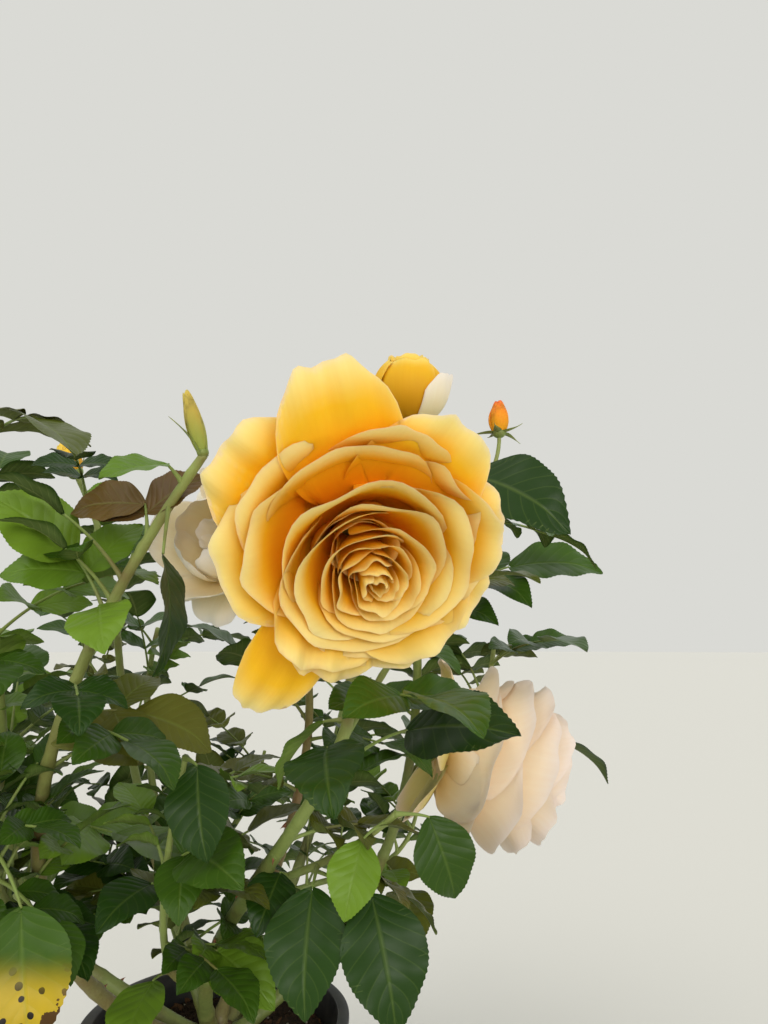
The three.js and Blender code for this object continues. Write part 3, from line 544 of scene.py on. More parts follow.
def leaf_plan(start, tip, rise, face, size, count, roll):
    """The stalk and the leaflets of one compound leaf: its end leaflet first, then its pairs."""
    chord = tip - start
    span = np.linalg.norm(chord)
    bow = start + chord * 0.5 + square(UP, chord / span) * 2 * rise
    curve = Curve(start, bow, tip)
    end = max(0.2, 1 - size / span)
    root = curve.at(end)
    blades = [dict(root=root, along=unit(tip - root), length=np.linalg.norm(tip - root), face=face)]
    pairs = (count - 1) // 2
    for i in range(pairs):
        share = 0.7 if pairs == 1 else 0.78 - 0.36 * i / (pairs - 1)
        at = curve.at(end * share)
        tangent = curve.tangent(end * share)
        side = np.cross(square(face, tangent), tangent)
        for hand in (1, -1):
            opened = math.radians(PAIR_ANGLE + 10 * (roll() - 0.5))
            along = unit(tangent * math.cos(opened) + side * hand * math.sin(opened)
                         + face * (-0.16 + 0.22 * (roll() - 0.5)))
            tilt = face + side * hand * 0.18 + tangent * 0.15
            blades.append(dict(root=at, along=along, length=size * (0.8 - 0.09 * i), face=tilt))
    return dict(curve=curve, end=end, blades=blades)


def rule_leaf(twig, row, k, attempt, seed):
    """The k-th leaf of a row, at its place on the spiral, turned on for each further try."""
    roll = dice(seed)
    share = 0.6 if row["count"] == 1 else 0.06 + 0.84 * k / (row["count"] - 1)
    t = place_on(twig, share)
    turn = math.radians(row["turn"] + SPIRAL * k + 30 * (roll() - 0.5) + 48 * attempt)
    start, tangent = twig["curve"].at(t), twig["curve"].tangent(t)
    across, other = square_pair(tangent)
    out = across * math.cos(turn) + other * math.sin(turn)
    size = row["blade"][0] + (row["blade"][1] - row["blade"][0]) * share
    blades = size * (0.9 + 0.2 * roll())
    reach = blades * STALK_LENGTH * (1 if attempt < 3 else SHORTER_STALK)
    aim = unit(unit(out + tangent * 0.35) + UP * (0.12 - 0.3 * roll()))
    face = unit(UP + np.array([aim[0], aim[1], 0]) * (0.45 + 0.5 * roll()))
    return leaf_plan(start, start + aim * reach, reach * 0.1, face, blades, 5, roll)


print("a 40 mm leaflet stands on a leaf", round(40 * STALK_LENGTH), "mm long")


# %% Leaves that the frame has
SAME_TIP = 0.5     # a leaflet is the frame's own if a corner of it is this near its tip, in millimetres
TRIES = 6


def frame_corners(name):
    """A look-up of the frame node's corners, in millimetres."""
    mesh = NODES[name].data
    tree = kdtree.KDTree(len(mesh.vertices))
    for i, vertex in enumerate(mesh.vertices):
        tree.insert(vertex.co / MM, i)
    tree.balance()
    return tree


def standing(plan, corners):
    """The leaflets of a plan that the frame has, or none if it has no end leaflet."""
    found = [corners.find(tip_of(blade))[2] < SAME_TIP for blade in plan["blades"]]
    return [b for b, here in zip(plan["blades"], found) if here] if found[0] else []


LEAVES = []
for m, (name, mass) in enumerate(MASSES.items()):
    corners = frame_corners(name)
    for k, spec in enumerate(mass["picked"]):
        twig = TWIGS[name][spec["on"]]
        start = twig["curve"].at(place_on(twig, spec["at"]))
        plan = leaf_plan(start, above(spec["tip"]), spec["rise"], heading(*spec["face"]),
                         spec["blade"], spec["count"], dice(m * 7919 + k * 104729 + 5))
        plan.update(mass=name, tint=spec["tint"], kept=standing(plan, corners))
        LEAVES.append(plan)
    for row in mass["crops"]:
        for k in range(row["count"]):
            seed = m * 7919 + k * 104729 + row["on"] * 1299709 + 12345
            for attempt in range(TRIES):
                plan = rule_leaf(TWIGS[name][row["on"]], row, k, attempt, seed)
                plan.update(mass=name, tint=None, kept=standing(plan, corners))
                if plan["kept"]:
                    LEAVES.append(plan)
                    break
LEAVES = [plan for plan in LEAVES if plan["kept"]]
print("leaves that the frame has:", len(LEAVES))

# %% [markdown]
# ## Filling in with finer leaves
#
# A real bush has many more small leaves than a solid model can hold. They grow by the same rule from
# the same twigs, inside the box of their own mass. A leaflet is left out where it would sit on
# another or hang in front of a flower, as a gardener would pinch it out.

# %% Finer leaves by the same rule
MORE_LEAVES = {
    "foliage_front": 1, "foliage_front_left": 8, "foliage_left": 9, "foliage_mid_left": 5,
    "foliage_middle": 5, "foliage_right": 3, "foliage_back_left": 9, "foliage_back_right": 7,
    "foliage_low_right": 3, "foliage_low_front": 14, "foliage_low_left": 24, "foliage_far_left": 10,
    "foliage_low_back_left": 14, "foliage_low_back": 10, "foliage_low_back_right": 6,
    "foliage_side_right": 4,
}
SMALL_BLADE = (33, 25)       # leaflet length at the twig's foot and at its tip, in millimetres
APART = 9.5                  # least distance between the middles of two leaflets
FLOWER_CLEARANCE = 62        # least distance from a leaflet's middle to a flower's heart
HEART_HEIGHT = 22            # from a flower's seat to its heart
MORE_TRIES = 14
TRY_STEP = 3.7               # each further try counts as so many of the rule's: turned far on, and shorter


def middle_of(blade):
    return blade["root"] + blade["along"] * blade["length"] * 0.5


def nearest(blade, places):
    """Distance from a leaflet's middle to the nearest of some places."""
    return min(np.linalg.norm(middle_of(blade) - place) for place in places)


blade_middles = [middle_of(b) for p in LEAVES for b in p["kept"]]
flower_hearts = [above(seat) + heading(az, el) * HEART_HEIGHT for seat, az, el in SEATS.values()]
for m, (name, wanted) in enumerate(MORE_LEAVES.items()):
    low, high = (np.array(corner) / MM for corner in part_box(name))
    row = dict(count=max(2, wanted), blade=SMALL_BLADE, turn=200)
    for k in range(wanted):
        twig = TWIGS[name][k % len(TWIGS[name])]
        for attempt in range(MORE_TRIES):
            plan = rule_leaf(twig, row, k, attempt * TRY_STEP, 50021 * m + 977 * k + 31 * attempt + 7)
            tips = [tip_of(b) for b in plan["blades"]]
            inside = [np.all(tip > low) and np.all(tip < high) for tip in tips]
            kept = [b for b, here in zip(plan["blades"], inside)
                    if here and nearest(b, blade_middles) > APART
                    and nearest(b, flower_hearts) > FLOWER_CLEARANCE]
            if inside[0] and len(kept) > 2 and any(b is plan["blades"][0] for b in kept):
                plan.update(mass=name, tint=None, kept=kept)
                LEAVES.append(plan)
                blade_middles += [middle_of(b) for b in kept]
                break
print("compound leaves:", len(LEAVES), "leaflets:", sum(len(p["kept"]) for p in LEAVES))

# %% [markdown]
# ## Colour and material helpers
#
# Colours are written as sRGB hex codes, the way a paint chart gives them, and one function turns
# them to the linear light that the shader works in. One small function adds a node with its
# settings and links, for shader trees and for Geometry Nodes alike.

# %% Node helpers
MATHS, MIX, MAP_RANGE = "ShaderNodeMath", "ShaderNodeMix", "ShaderNodeMapRange"
NOISE, MAPPING, BUMP = "ShaderNodeTexNoise", "ShaderNodeMapping", "ShaderNodeBump"
ATTRIBUTE, UV_MAP, COORDINATES = "ShaderNodeAttribute", "ShaderNodeUVMap", "ShaderNodeTexCoord"


def linear(code):
    """An sRGB hex colour as linear red, green, blue and alpha."""
    parts = [int(code[i:i + 2], 16) / 255 for i in (1, 3, 5)]
    return [c / 12.92 if c <= 0.04045 else ((c + 0.055) / 1.055) ** 2.4 for c in parts] + [1.0]


def wire(tree, node, sockets):
    """Gives each named or numbered socket a value, or links it to an output or to a node's first one."""
    for key, value in sockets.items():
        if isinstance(value, bpy.types.Node):
            value = next(output for output in value.outputs if output.enabled)
        if isinstance(value, bpy.types.NodeSocket):
            tree.links.new(value, node.inputs[key])
        else:
            node.inputs[key].default_value = value
    return node


def add(tree, kind, sockets=None, **settings):
    """Adds a node with its settings and links."""
    made = tree.nodes.new(kind)
    for key, value in settings.items():
        setattr(made, key, value)
    return wire(tree, made, sockets or {})


def start_material(name, sockets):
    """A new material with its shader node, whose own sockets are set."""
    material = bpy.data.materials.new(name)
    material.use_nodes = True
    tree = material.node_tree
    return material, tree, wire(tree, tree.nodes["Principled BSDF"], sockets)


def scale_for(size):
    """The texture scale, per metre, that repeats a pattern every so many millimetres."""
    return 1 / (size * MM)


print("mid grey in linear light:", round(linear("#808080")[0], 3))

# %% [markdown]
# ## Leaf and bark materials
#
# A mature rose leaf is deep green with a waxy upper side that shines softly, and a paler, dull
# underside. Sunken side veins run from the midrib towards the teeth, so the blade looks quilted.
# The base colour of every leaf is dealt out in the script as an attribute, and the material adds
# the veins, the mottling and the difference between the sides. The same material browns and spots
# an ailing leaf where a second attribute says so.

# %% Leaf material
VEIN_PAIRS = 7
MOTTLE, BLOTS, BURNS = 7.14, 5.88, 18.18     # sizes of the leaf's patterns in millimetres


def leaf_veins(tree):
    """Midrib and side veins of a leaf: the quilted wave, the rib and both as lines."""
    uv = add(tree, UV_MAP, uv_map="surface")
    cut = add(tree, "ShaderNodeSeparateXYZ", {0: uv})
    off = add(tree, MATHS, {0: cut.outputs["X"], 1: 0.5}, operation="SUBTRACT")
    off = add(tree, MATHS, {0: off}, operation="ABSOLUTE")
    # The side veins sweep forward: further from the midrib they meet the blade nearer its tip.
    sweep = add(tree, MATHS, {0: off, 1: 0.55}, operation="MULTIPLY")
    sweep = add(tree, MATHS, {0: cut.outputs["Y"], 1: sweep}, operation="SUBTRACT")
    wave = add(tree, MATHS, {0: sweep, 1: math.pi * (VEIN_PAIRS + 1)}, operation="MULTIPLY")
    wave = add(tree, MATHS, {0: wave}, operation="SINE")
    wave = add(tree, MATHS, {0: wave}, operation="ABSOLUTE")
    vein = add(tree, MATHS, {0: wave, 1: 4.0}, operation="MULTIPLY")
    vein = add(tree, MATHS, {0: vein, 1: 1.0, 2: 0.2}, operation="SMOOTH_MIN")
    vein = add(tree, MATHS, {0: 1.0, 1: vein}, operation="SUBTRACT")
    vein = add(tree, MATHS, {0: vein, 1: 0.45}, operation="MULTIPLY")
    rib = add(tree, MATHS, {0: off, 1: 26.0}, operation="MULTIPLY")
    rib = add(tree, MATHS, {0: rib, 1: 1.0}, operation="MINIMUM")
    rib = add(tree, MATHS, {0: 1.0, 1: rib}, operation="SUBTRACT")
    return wave, rib, add(tree, MATHS, {0: vein, 1: rib}, operation="MAXIMUM")


def leaf_colour(tree, lines, mottle, place):
    """Upper side, underside and the marks of an ailing leaf, and which side a point is on."""
    tint = add(tree, ATTRIBUTE, attribute_name="tint")
    under = add(tree, ATTRIBUTE, attribute_name="under").outputs["Fac"]
    spots = add(tree, ATTRIBUTE, attribute_name="spots").outputs["Fac"]
    share = add(tree, MATHS, {0: mottle, 1: 0.6, 2: -0.1}, operation="MULTIPLY_ADD")
    dark = add(tree, MIX, {0: share, 6: tint, 7: linear("#20380f")}, data_type="RGBA", blend_type="MULTIPLY")
    dark = add(tree, MIX, {0: 0.35, 6: tint, 7: dark}, data_type="RGBA")
    share = add(tree, MATHS, {0: lines, 1: 0.2}, operation="MULTIPLY")
    top = add(tree, MIX, {0: share, 6: dark, 7: linear("#7c9440")}, data_type="RGBA")
    pale = add(tree, MIX, {0: 0.45, 6: tint, 7: linear("#76874a")}, data_type="RGBA")
    share = add(tree, MATHS, {0: lines, 1: 0.5}, operation="MULTIPLY")
    pale = add(tree, MIX, {0: share, 6: pale, 7: linear("#a3aa68")}, data_type="RGBA")
    colour = add(tree, MIX, {0: under, 6: top, 7: pale}, data_type="RGBA")
    # Brown patches first, then black spots over them, only where the leaf ails.
    burn = add(tree, NOISE, {"Vector": place, "Scale": scale_for(BURNS), "Detail": 5.0})
    burn = add(tree, MATHS, {0: burn, 1: 0.52}, operation="GREATER_THAN")
    burn = add(tree, MATHS, {0: burn, 1: spots}, operation="MULTIPLY")
    colour = add(tree, MIX, {0: burn, 6: colour, 7: linear("#4a3212")}, data_type="RGBA")
    blot = add(tree, "ShaderNodeTexVoronoi", {"Vector": place, "Scale": scale_for(BLOTS), "Randomness": 1.0})
    ragged = add(tree, MATHS, {0: mottle, 1: 0.25}, operation="MULTIPLY")
    blot = add(tree, MATHS, {0: blot, 1: ragged}, operation="ADD")
    blot = add(tree, MATHS, {0: blot, 1: 0.36}, operation="LESS_THAN")
    blot = add(tree, MATHS, {0: blot, 1: spots}, operation="MULTIPLY")
    return under, add(tree, MIX, {0: blot, 6: colour, 7: linear("#1c140c")}, data_type="RGBA")


def leaf_material():
    """Waxy rose leaf: a soft shine above, dull beneath, puffed up between its veins."""
    material, tree, skin = start_material("waxy_rose_leaf", {"IOR": 1.45, "Specular IOR Level": 0.24})
    place = add(tree, COORDINATES).outputs["Object"]
    mottle = add(tree, NOISE, {"Vector": place, "Scale": scale_for(MOTTLE), "Detail": 3.0})
    wave, rib, lines = leaf_veins(tree)
    under, colour = leaf_colour(tree, lines, mottle, place)
    rough = add(tree, MAP_RANGE, {"Value": under, "To Min": 0.4, "To Max": 0.68})
    rough = add(tree, MATHS, {0: rough, 1: 0.08}, operation="SUBTRACT")
    rough = add(tree, MATHS, {0: mottle, 1: 0.16, 2: rough}, operation="MULTIPLY_ADD")
    puff = add(tree, MATHS, {0: wave, 1: 0.8}, operation="MULTIPLY")
    sunk = add(tree, MATHS, {0: rib, 1: 1.2}, operation="MULTIPLY")
    puff = add(tree, MATHS, {0: puff, 1: sunk}, operation="SUBTRACT")
    puff = add(tree, MATHS, {0: mottle, 1: 0.35, 2: puff}, operation="MULTIPLY_ADD")
    relief = add(tree, BUMP, {"Height": puff, "Strength": 0.35, "Distance": 0.5 * MM})
    wire(tree, skin, {"Base Color": colour, "Roughness": rough, "Normal": relief})
    return material


LEAF_SKIN = leaf_material()
print("leaf material:", LEAF_SKIN.name, "with", VEIN_PAIRS, "pairs of side veins")


# %% Bark and twig material
STREAK_LENGTH, STREAKS_ROUND = 1.786, 14.4     # millimetres along the cane, and streaks to a turn
BROWN_PATCH = 22.2                             # millimetres


def bark_material():
    """Rose cane bark: smooth green skin, browning towards the ground, with fine pale streaks."""
    material, tree, skin = start_material("green_rose_cane", {"Roughness": 0.5, "IOR": 1.45})
    uv = add(tree, UV_MAP, uv_map="surface")
    tint = add(tree, ATTRIBUTE, attribute_name="tint")
    place = add(tree, COORDINATES).outputs["Object"]
    drawn = add(tree, MAPPING, {"Vector": uv, "Scale": (1 / STREAK_LENGTH, STREAKS_ROUND, 1.0)})
    streak = add(tree, NOISE, {"Vector": drawn, "Scale": 1.0, "Detail": 5.0})
    patch = add(tree, NOISE, {"Vector": place, "Scale": scale_for(BROWN_PATCH), "Detail": 3.0})
    pale = add(tree, MATHS, {0: streak, 1: 0.5}, operation="MULTIPLY")
    colour = add(tree, MIX, {0: pale, 6: tint, 7: linear("#9aa35c")}, data_type="RGBA")
    brown = add(tree, MAP_RANGE, {"Value": patch, "From Min": 0.5, "From Max": 0.72, "To Max": 0.6})
    colour = add(tree, MIX, {0: brown, 6: colour, 7: linear("#6b4c2e")}, data_type="RGBA")
    height = add(tree, MATHS, {0: patch, 1: 0.4, 2: streak}, operation="MULTIPLY_ADD")
    relief = add(tree, BUMP, {"Height": height, "Strength": 0.45, "Distance": 0.5 * MM})
    wire(tree, skin, {"Base Color": colour, "Normal": relief})
    return material


BARK = bark_material()
print("materials so far:", [m.name for m in (LEAF_SKIN, BARK)])

# %% [markdown]
# ## Canes with the relief of bark
#
# Each cane runs unbroken from inside the collar to where its leafy part begins, and the leafy part
# carries on from the same curve, so the two meet without a step. A cane swells a little at each
# node, where a leaf or a bud once grew, and its skin has shallow ridges along it.

# %% Canes and stems
CANE_COLOURS = {
    "cane_front": ("#5d6b35", "#6f8340"), "cane_front_left": ("#6b5638", "#74763d"),
    "cane_left": ("#7d8b4c", "#7f9448"), "cane_mid_left": ("#5c6b34", "#7a8a44"),
    "cane_middle": ("#6a5a3c", "#8a5a44"), "cane_right": ("#5d6b35", "#75863f"),
    "cane_back_left": ("#5f6338", "#72823f"), "cane_back_right": ("#5f6338", "#6f8340"),
}
NODE_SPACING = 38.0     # millimetres from one swollen node to the next
FLARE = 1.3             # millimetres added to a cane's radius where it leaves the collar


def bark_relief(number):
    """Swollen nodes every few centimetres, shallow ridges and fine unevenness."""
    phase = 1.7 * number

    def relief(run, turn):
        past = np.mod(run + phase * 9, NODE_SPACING) - NODE_SPACING / 2
        node = np.exp(-(past / 2.2) ** 2) * 0.13
        ridge = 0.022 * np.sin(3 * turn + 0.05 * run + phase) + 0.014 * np.sin(7 * turn - 0.11 * run)
        return node * (1 + 0.5 * np.cos(turn - phase)) + ridge + 0.02 * np.sin(0.9 * run + 2 * turn)
    return relief


def tinted(points, low, high, share):
    """A colour for each point, from low to high by share."""
    a, b = np.array(linear(low)), np.array(linear(high))
    return dict(tint=a + (b - a) * np.clip(share, 0, 1)[:, None])


def cane_taper(cane):
    """The radius of a cane by length: even taper, with a flare where it leaves the collar."""
    shares = np.linspace(0, 1, 60)
    lengths = cane_curve(cane).length_to(shares)

    def radius(run):
        share = np.interp(run, lengths, shares)
        return cane_radius(cane, share) + FLARE * np.exp(-np.maximum(run, 0) / 8.0)
    return radius


CANE_PIECES = []
for i, (name, cane) in enumerate(CANES.items()):
    curve = cane_curve(cane)
    points, faces, uv = tube(curve, 0.0, cane["bare"], cane_taper(cane), sides=16, step=1.4,
                             relief=bark_relief(i), root=6.0)
    tint = tinted(points, *CANE_COLOURS[name], uv[:, 0] / curve.length_to(1.0))
    CANE_PIECES.append((build_mesh(name + "_bark", points, faces, BARK, uv, colours=tint), name))
print("cane faces:", face_count(p for p, _ in CANE_PIECES))

# %% [markdown]
# ## Twigs and leaf stalks
#
# A side limb starts inside its cane and swells where it leaves it, as a real branch collar does.
# Leaf stalks are thin tubes along the same bowed line that the frame's leaves follow. All the wood
# of one mass is joined into one piece.

# %% Grow the twigs
TWIG_END = "#86954e"
LEAF_STALK = ("#7c8f45", "#6f8a3c")


def stalk_taper(thick, thin, low, high, swell=0.0):
    """The radius of a twig by length, from thick at low to thin at high, swollen at its foot."""
    def radius(run):
        share = np.clip((run - low) / (high - low), 0, 1)
        return thick + (thin - thick) * share + swell * np.exp(-np.maximum(run - low, 0) / 3.0)
    return radius


def add_twig(heap, twig, radius, relief, root, tone):
    low, high = twig["curve"].length_to([twig["first"], twig["last"]])
    points, faces, uv = tube(twig["curve"], twig["first"], twig["last"], radius, sides=12, step=1.6,
                             relief=relief, root=root)
    heap.add(points, faces, uv, colours=tinted(points, tone, TWIG_END, (uv[:, 0] - low) / (high - low)))


def add_leaf_stalk(heap, plan):
    length = plan["curve"].length_to(plan["end"])
    taper = stalk_taper(0.95, 0.55, 0.0, length, swell=0.8)
    points, faces, uv = tube(plan["curve"], 0.0, plan["end"], taper, sides=8, step=2.5, root=0.6)
    heap.add(points, faces, uv, colours=tinted(points, *LEAF_STALK, uv[:, 0] / length))


TWIG_PIECES = []
for i, (name, mass) in enumerate(MASSES.items()):
    heap = Heap()
    cane = mass.get("grows") or mass["start"]
    tone = CANE_COLOURS[cane][1]
    for j, twig in enumerate(TWIGS[name]):
        if j == 0 and "grows" in mass:
            add_twig(heap, twig, cane_taper(CANES[cane]), bark_relief(list(CANES).index(cane)), 0.6, tone)
            continue
        low, high = twig["curve"].length_to([twig["first"], twig["last"]])
        taper = stalk_taper(twig["thick"], twig["thin"], low, high, swell=0.7)
        add_twig(heap, twig, taper, bark_relief(i + j), 4.5 if j == 0 else 0.5, tone)
    for plan in LEAVES:
        if plan["mass"] == name:
            add_leaf_stalk(heap, plan)
    TWIG_PIECES.append((heap.piece("twigs_" + name, BARK), name))
print("twig faces:", face_count(p for p, _ in TWIG_PIECES))

# %% [markdown]
# ## Leaflets
#
# A rose leaflet is egg-shaped, with a pointed tip and some twenty forward-pointing teeth on each
# side. It is folded a little along its midrib, arches from stalk to tip and waves at the edge. Every
# leaflet of one mass is bent from the same sheet, each with its own dice.

# %% One leaflet
LEAF_ROWS = 46               # rows of corners along a leaflet; every second one is a tooth
SHEET = shell(4, LEAF_ROWS)
LEAF_WIDTH = 0.37            # half a leaflet's width, as a share of its length
TOOTH_IN, TOOTH_OUT = -0.009, 0.011     # steps of the edge, as a share of that half width
LEAF_HALF_THICKNESS = 0.16   # millimetres, a little more than a real leaf, so that it stays a solid


def leaflet(blade, roll):
    """Points of one leaflet: serrated, folded, arched and waved."""
    u, v, side = SHEET["u"], SHEET["v"], SHEET["side"]
    along = blade["along"]
    normal = square(blade["face"], along)
    across = np.cross(along, normal)
    length = blade["length"]
    width = length * (LEAF_WIDTH + 0.03 * (roll() - 0.5))
    outline = np.sin(np.pi * np.clip(v, 0, 1) ** 0.84) ** 0.82 * (1 - 0.12 * v) + 0.012
    row = np.round(v * LEAF_ROWS)
    edge = np.abs(u) > 0.99
    toothed = edge & (v > 0.05) & (v < 0.97)
    tooth = np.where(toothed, np.where(row % 2 == 0, TOOTH_IN, TOOTH_OUT), 0.0)
    x = u * width * (outline + tooth)
    y = length * (0.02 + 0.98 * v + np.where(edge, tooth * 0.35, 0) - 0.03 * np.abs(u) ** 2 * (1 - v))
    arch, fold, droop = 0.05 + 0.05 * roll(), 0.16 + 0.16 * roll(), 0.02 + 0.06 * roll()
    twist, phase, waves = 0.22 * (roll() - 0.5), 6.28 * roll(), 2.0 + 1.5 * roll()
    z = length * (arch * 4 * v * (1 - v) - droop * smooth(0.55, 1, v) ** 2)
    z = z + fold * np.abs(x) * (1 - 0.3 * np.abs(u)) + x * twist * (v - 0.3)
    z = z + length * 0.018 * np.sin(waves * 2 * np.pi * v + phase + 0.6 * np.sign(u)) * u * u
    z = z - length * 0.01 * np.exp(-((u / 0.16) ** 2)) + side * LEAF_HALF_THICKNESS
    return blade["root"] + x[:, None] * across + y[:, None] * along + z[:, None] * normal


print("teeth on each side of a leaflet:", LEAF_ROWS // 2 - 2)


# %% Grow the leaflets
LEAF_TINTS = {
    "deep": ("#1c3608", "#24420b"), "mature": ("#2c480c", "#385610"), "fresh": ("#55751c", "#6c8c26"),
    "olive": ("#4c5618", "#5d5f20"), "bronze": ("#665426", "#5a4120"), "yellow": ("#b39a1e", "#c9ab2c"),
}
USUAL_TINTS = ("mature", "mature", "deep", "mature", "fresh", "olive")


def leaf_tint(tone, share, count):
    """The colour of each point of a leaflet, and how far it ails: a yellow leaf is green at its foot."""
    low, high = (np.array(linear(code)) for code in LEAF_TINTS[tone])
    tint = np.tile(low + (high - low) * share, (count, 1))
    ailing = smooth(0.3, 0.62, SHEET["v"] + 0.12 * SHEET["u"]) * (tone == "yellow")
    if tone == "yellow":
        green = np.array(linear(LEAF_TINTS["mature"][1]))
        tint = green * (1 - ailing[:, None]) + tint * ailing[:, None]
    return tint, ailing


LEAF_PIECES = []
for i, name in enumerate(MASSES):
    heap, roll = Heap(), dice(900 + i)
    for plan in [p for p in LEAVES if p["mass"] == name]:
        tone = plan["tint"] or USUAL_TINTS[int(len(USUAL_TINTS) * roll())]
        for blade in plan["kept"]:
            points = leaflet(blade, roll)
            tint, ailing = leaf_tint(tone, roll(), len(points))
            heap.add(points, SHEET["faces"], SHEET["uv"],
                     values=dict(under=(SHEET["side"] < 0) * 1.0, spots=ailing), colours=dict(tint=tint))
    LEAF_PIECES.append((heap.piece("leaves_" + name, LEAF_SKIN), name))
print("leaf faces:", face_count(p for p, _ in LEAF_PIECES))

# %% [markdown]
# ## Petals
#
# A full rose holds a hundred petals or so in rings that spiral inwards. The outermost lie open and
# curl back at the rim, the next stand more upright, and the heart is packed in folds. Each petal is
# bent from one sheet by a few real measures: its length and width, how far it leans away from the
# flower's axis at its foot, middle and rim, how deeply it is cupped, and how much its rim rolls
# back and ruffles.

# %% One petal
PETAL_SHEET = shell(22, 20)
PETAL_THICKNESS = 0.25
LEAN_STEPS = (np.arange(16) + 0.5) / 16     # shares of a petal's length at which its lean is added up


def flower_frame(seat, az, el):
    """A flower's seat, its axis and two directions across it."""
    axis = heading(az, el)
    y = square(UP, axis)
    return dict(seat=above(seat), axis=axis, x=np.cross(y, axis), y=y)


def leaning(lean, w):
    """The lean at a share w of the length, between those at foot, middle and rim."""
    return lean[0] * (1 - w) ** 2 + 2 * lean[1] * w * (1 - w) + lean[2] * w * w


def petal(flower, turn, length, half, lean, cup, raised=0.0, foot=6.0, roll_back=0.0, ruffle=0.0,
          waves=2.5, phase=0.0, skew=0.0, tuck=0.0, fall=1.0, offset=(0, 0)):
    """Points of one petal. Angles of lean are in degrees from the axis; lengths in millimetres.

    The sheet is turned about the flower's axis. It leans by three angles at its foot, middle and rim.
    tuck sets one side out and the other in, so that neighbours overlap like tiles.
    """
    turn = math.radians(turn)
    radial = flower["x"] * math.cos(turn) + flower["y"] * math.sin(turn)
    tangent = np.cross(flower["axis"], radial)
    leans = np.radians(lean)
    centre = flower["seat"] + flower["x"] * offset[0] + flower["y"] * offset[1]

    def reach(u, v):
        """How far along the petal a point of the sheet lies: the rim is rounded, skewed and uneven."""
        uneven = 0.014 * np.sin(8 * u + 2 * phase) + 0.009 * np.sin(15 * u + 5 * phase)
        return v * (1 - fall * (0.1 * u * u + 0.2 * np.abs(u) ** 5) + skew * u * 0.08 + uneven)

    def lean_at(w):
        return leaning(leans, w) + np.radians(roll_back) * smooth(0.7, 1.0, w) ** 1.5

    def middle(u, v):
        """A point half-way through the petal's thickness."""
        v = reach(u, v)
        inner = lean_at(v[:, None] * LEAN_STEPS)
        out = foot + length * v * np.sin(inner).mean(1)
        high = 1 + raised + length * v * np.cos(inner).mean(1)
        angle = lean_at(v)
        wide = half * (0.12 + 0.88 * np.sin(np.pi * (0.03 + 0.6 * v)))
        around = np.maximum(cup, out)
        sweep = u * wide / around
        out_here = radial * np.cos(sweep)[:, None] + tangent * np.sin(sweep)[:, None]
        normal = out_here * np.cos(angle)[:, None] - flower["axis"] * np.sin(angle)[:, None]
        rim = smooth(0.55, 1.0, np.maximum(np.abs(u) * 0.9, v))
        lift = ruffle * length * rim * np.sin(waves * np.pi * u + phase + 1.5 * v)
        lift = lift + 0.012 * length * rim * np.sin(9 * u + 2.1 * phase + 4 * v)
        lift = lift + tuck * u * smooth(0.0, 0.6, v)
        return (centre + radial * (out - around)[:, None] + out_here * around[:, None]
                + flower["axis"] * high[:, None] + normal * lift[:, None])

    u, v, near = PETAL_SHEET["u"], PETAL_SHEET["v"], 0.004
    across = middle(u + near, v) - middle(u - near, v)
    along = middle(u, v + near) - middle(u, v - near)
    outward = unit(np.cross(across, along))
    return middle(u, v) + outward * (PETAL_SHEET["side"] * PETAL_THICKNESS / 2)[:, None], reach(u, v)


def petal_tint(u, v, base, middle, edge):
    """Deep colour at a petal's foot, paler towards the rim and the sides: partly the petal's own colour,
    partly painted light, a painted glow at the foot and a painted highlight along the rim.
    """
    # The small extra step close to the rim paints a highlight along the petal's edge; the deep end at the
    # foot is partly a painted glow of light bounced in the cup.
    share = np.clip(0.72 * v ** 1.6 + 0.22 * smooth(0.8, 1.0, v) + 0.3 * np.abs(u) ** 4 * v, 0, 1)
    base, middle, edge = (np.array(linear(c)) for c in (base, middle, edge))
    first = np.clip(share * 2, 0, 1)[:, None]
    second = np.clip(share * 2 - 1, 0, 1)[:, None]
    return dict(tint=(base + (middle - base) * first) * (1 - second) + edge * second)


print("faces of one petal:", len(PETAL_SHEET["faces"]))


# %% Petal material
VEINS_ACROSS, VEINS_ALONG = 34.0, 2.2     # coarser than a real petal's veins, so that they show
PETAL_PATCH = 16.67                       # millimetres


def petal_material():
    """Rose petal: velvety, softly translucent, with fine veins that fan out from the foot."""
    material, tree, skin = start_material("velvety_rose_petal", {
        "Roughness": 0.6, "IOR": 1.36, "Specular IOR Level": 0.3, "Subsurface Weight": 0.4,
        "Subsurface Scale": 1 * MM, "Subsurface Radius": (1.0, 0.9, 0.75)})
    uv = add(tree, UV_MAP, uv_map="surface")
    tint = add(tree, ATTRIBUTE, attribute_name="tint")
    place = add(tree, COORDINATES).outputs["Object"]
    drawn = add(tree, MAPPING, {"Vector": uv, "Scale": (VEINS_ACROSS, VEINS_ALONG, 1.0)})
    veins = add(tree, NOISE, {"Vector": drawn, "Scale": 1.0, "Detail": 4.0})
    patch = add(tree, NOISE, {"Vector": place, "Scale": scale_for(PETAL_PATCH), "Detail": 3.0})
    share = add(tree, MATHS, {0: veins, 1: 0.16}, operation="MULTIPLY")
    shade = add(tree, MIX, {0: share, 6: tint, 7: linear("#e8a030")}, data_type="RGBA", blend_type="MULTIPLY")
    height = add(tree, MATHS, {0: patch, 1: 0.5, 2: veins}, operation="MULTIPLY_ADD")
    relief = add(tree, BUMP, {"Height": height, "Strength": 0.2, "Distance": 0.4 * MM})
    wire(tree, skin, {"Base Color": shade, "Normal": relief})
    return material


PETAL_SKIN = petal_material()
print("petal material:", PETAL_SKIN.name)

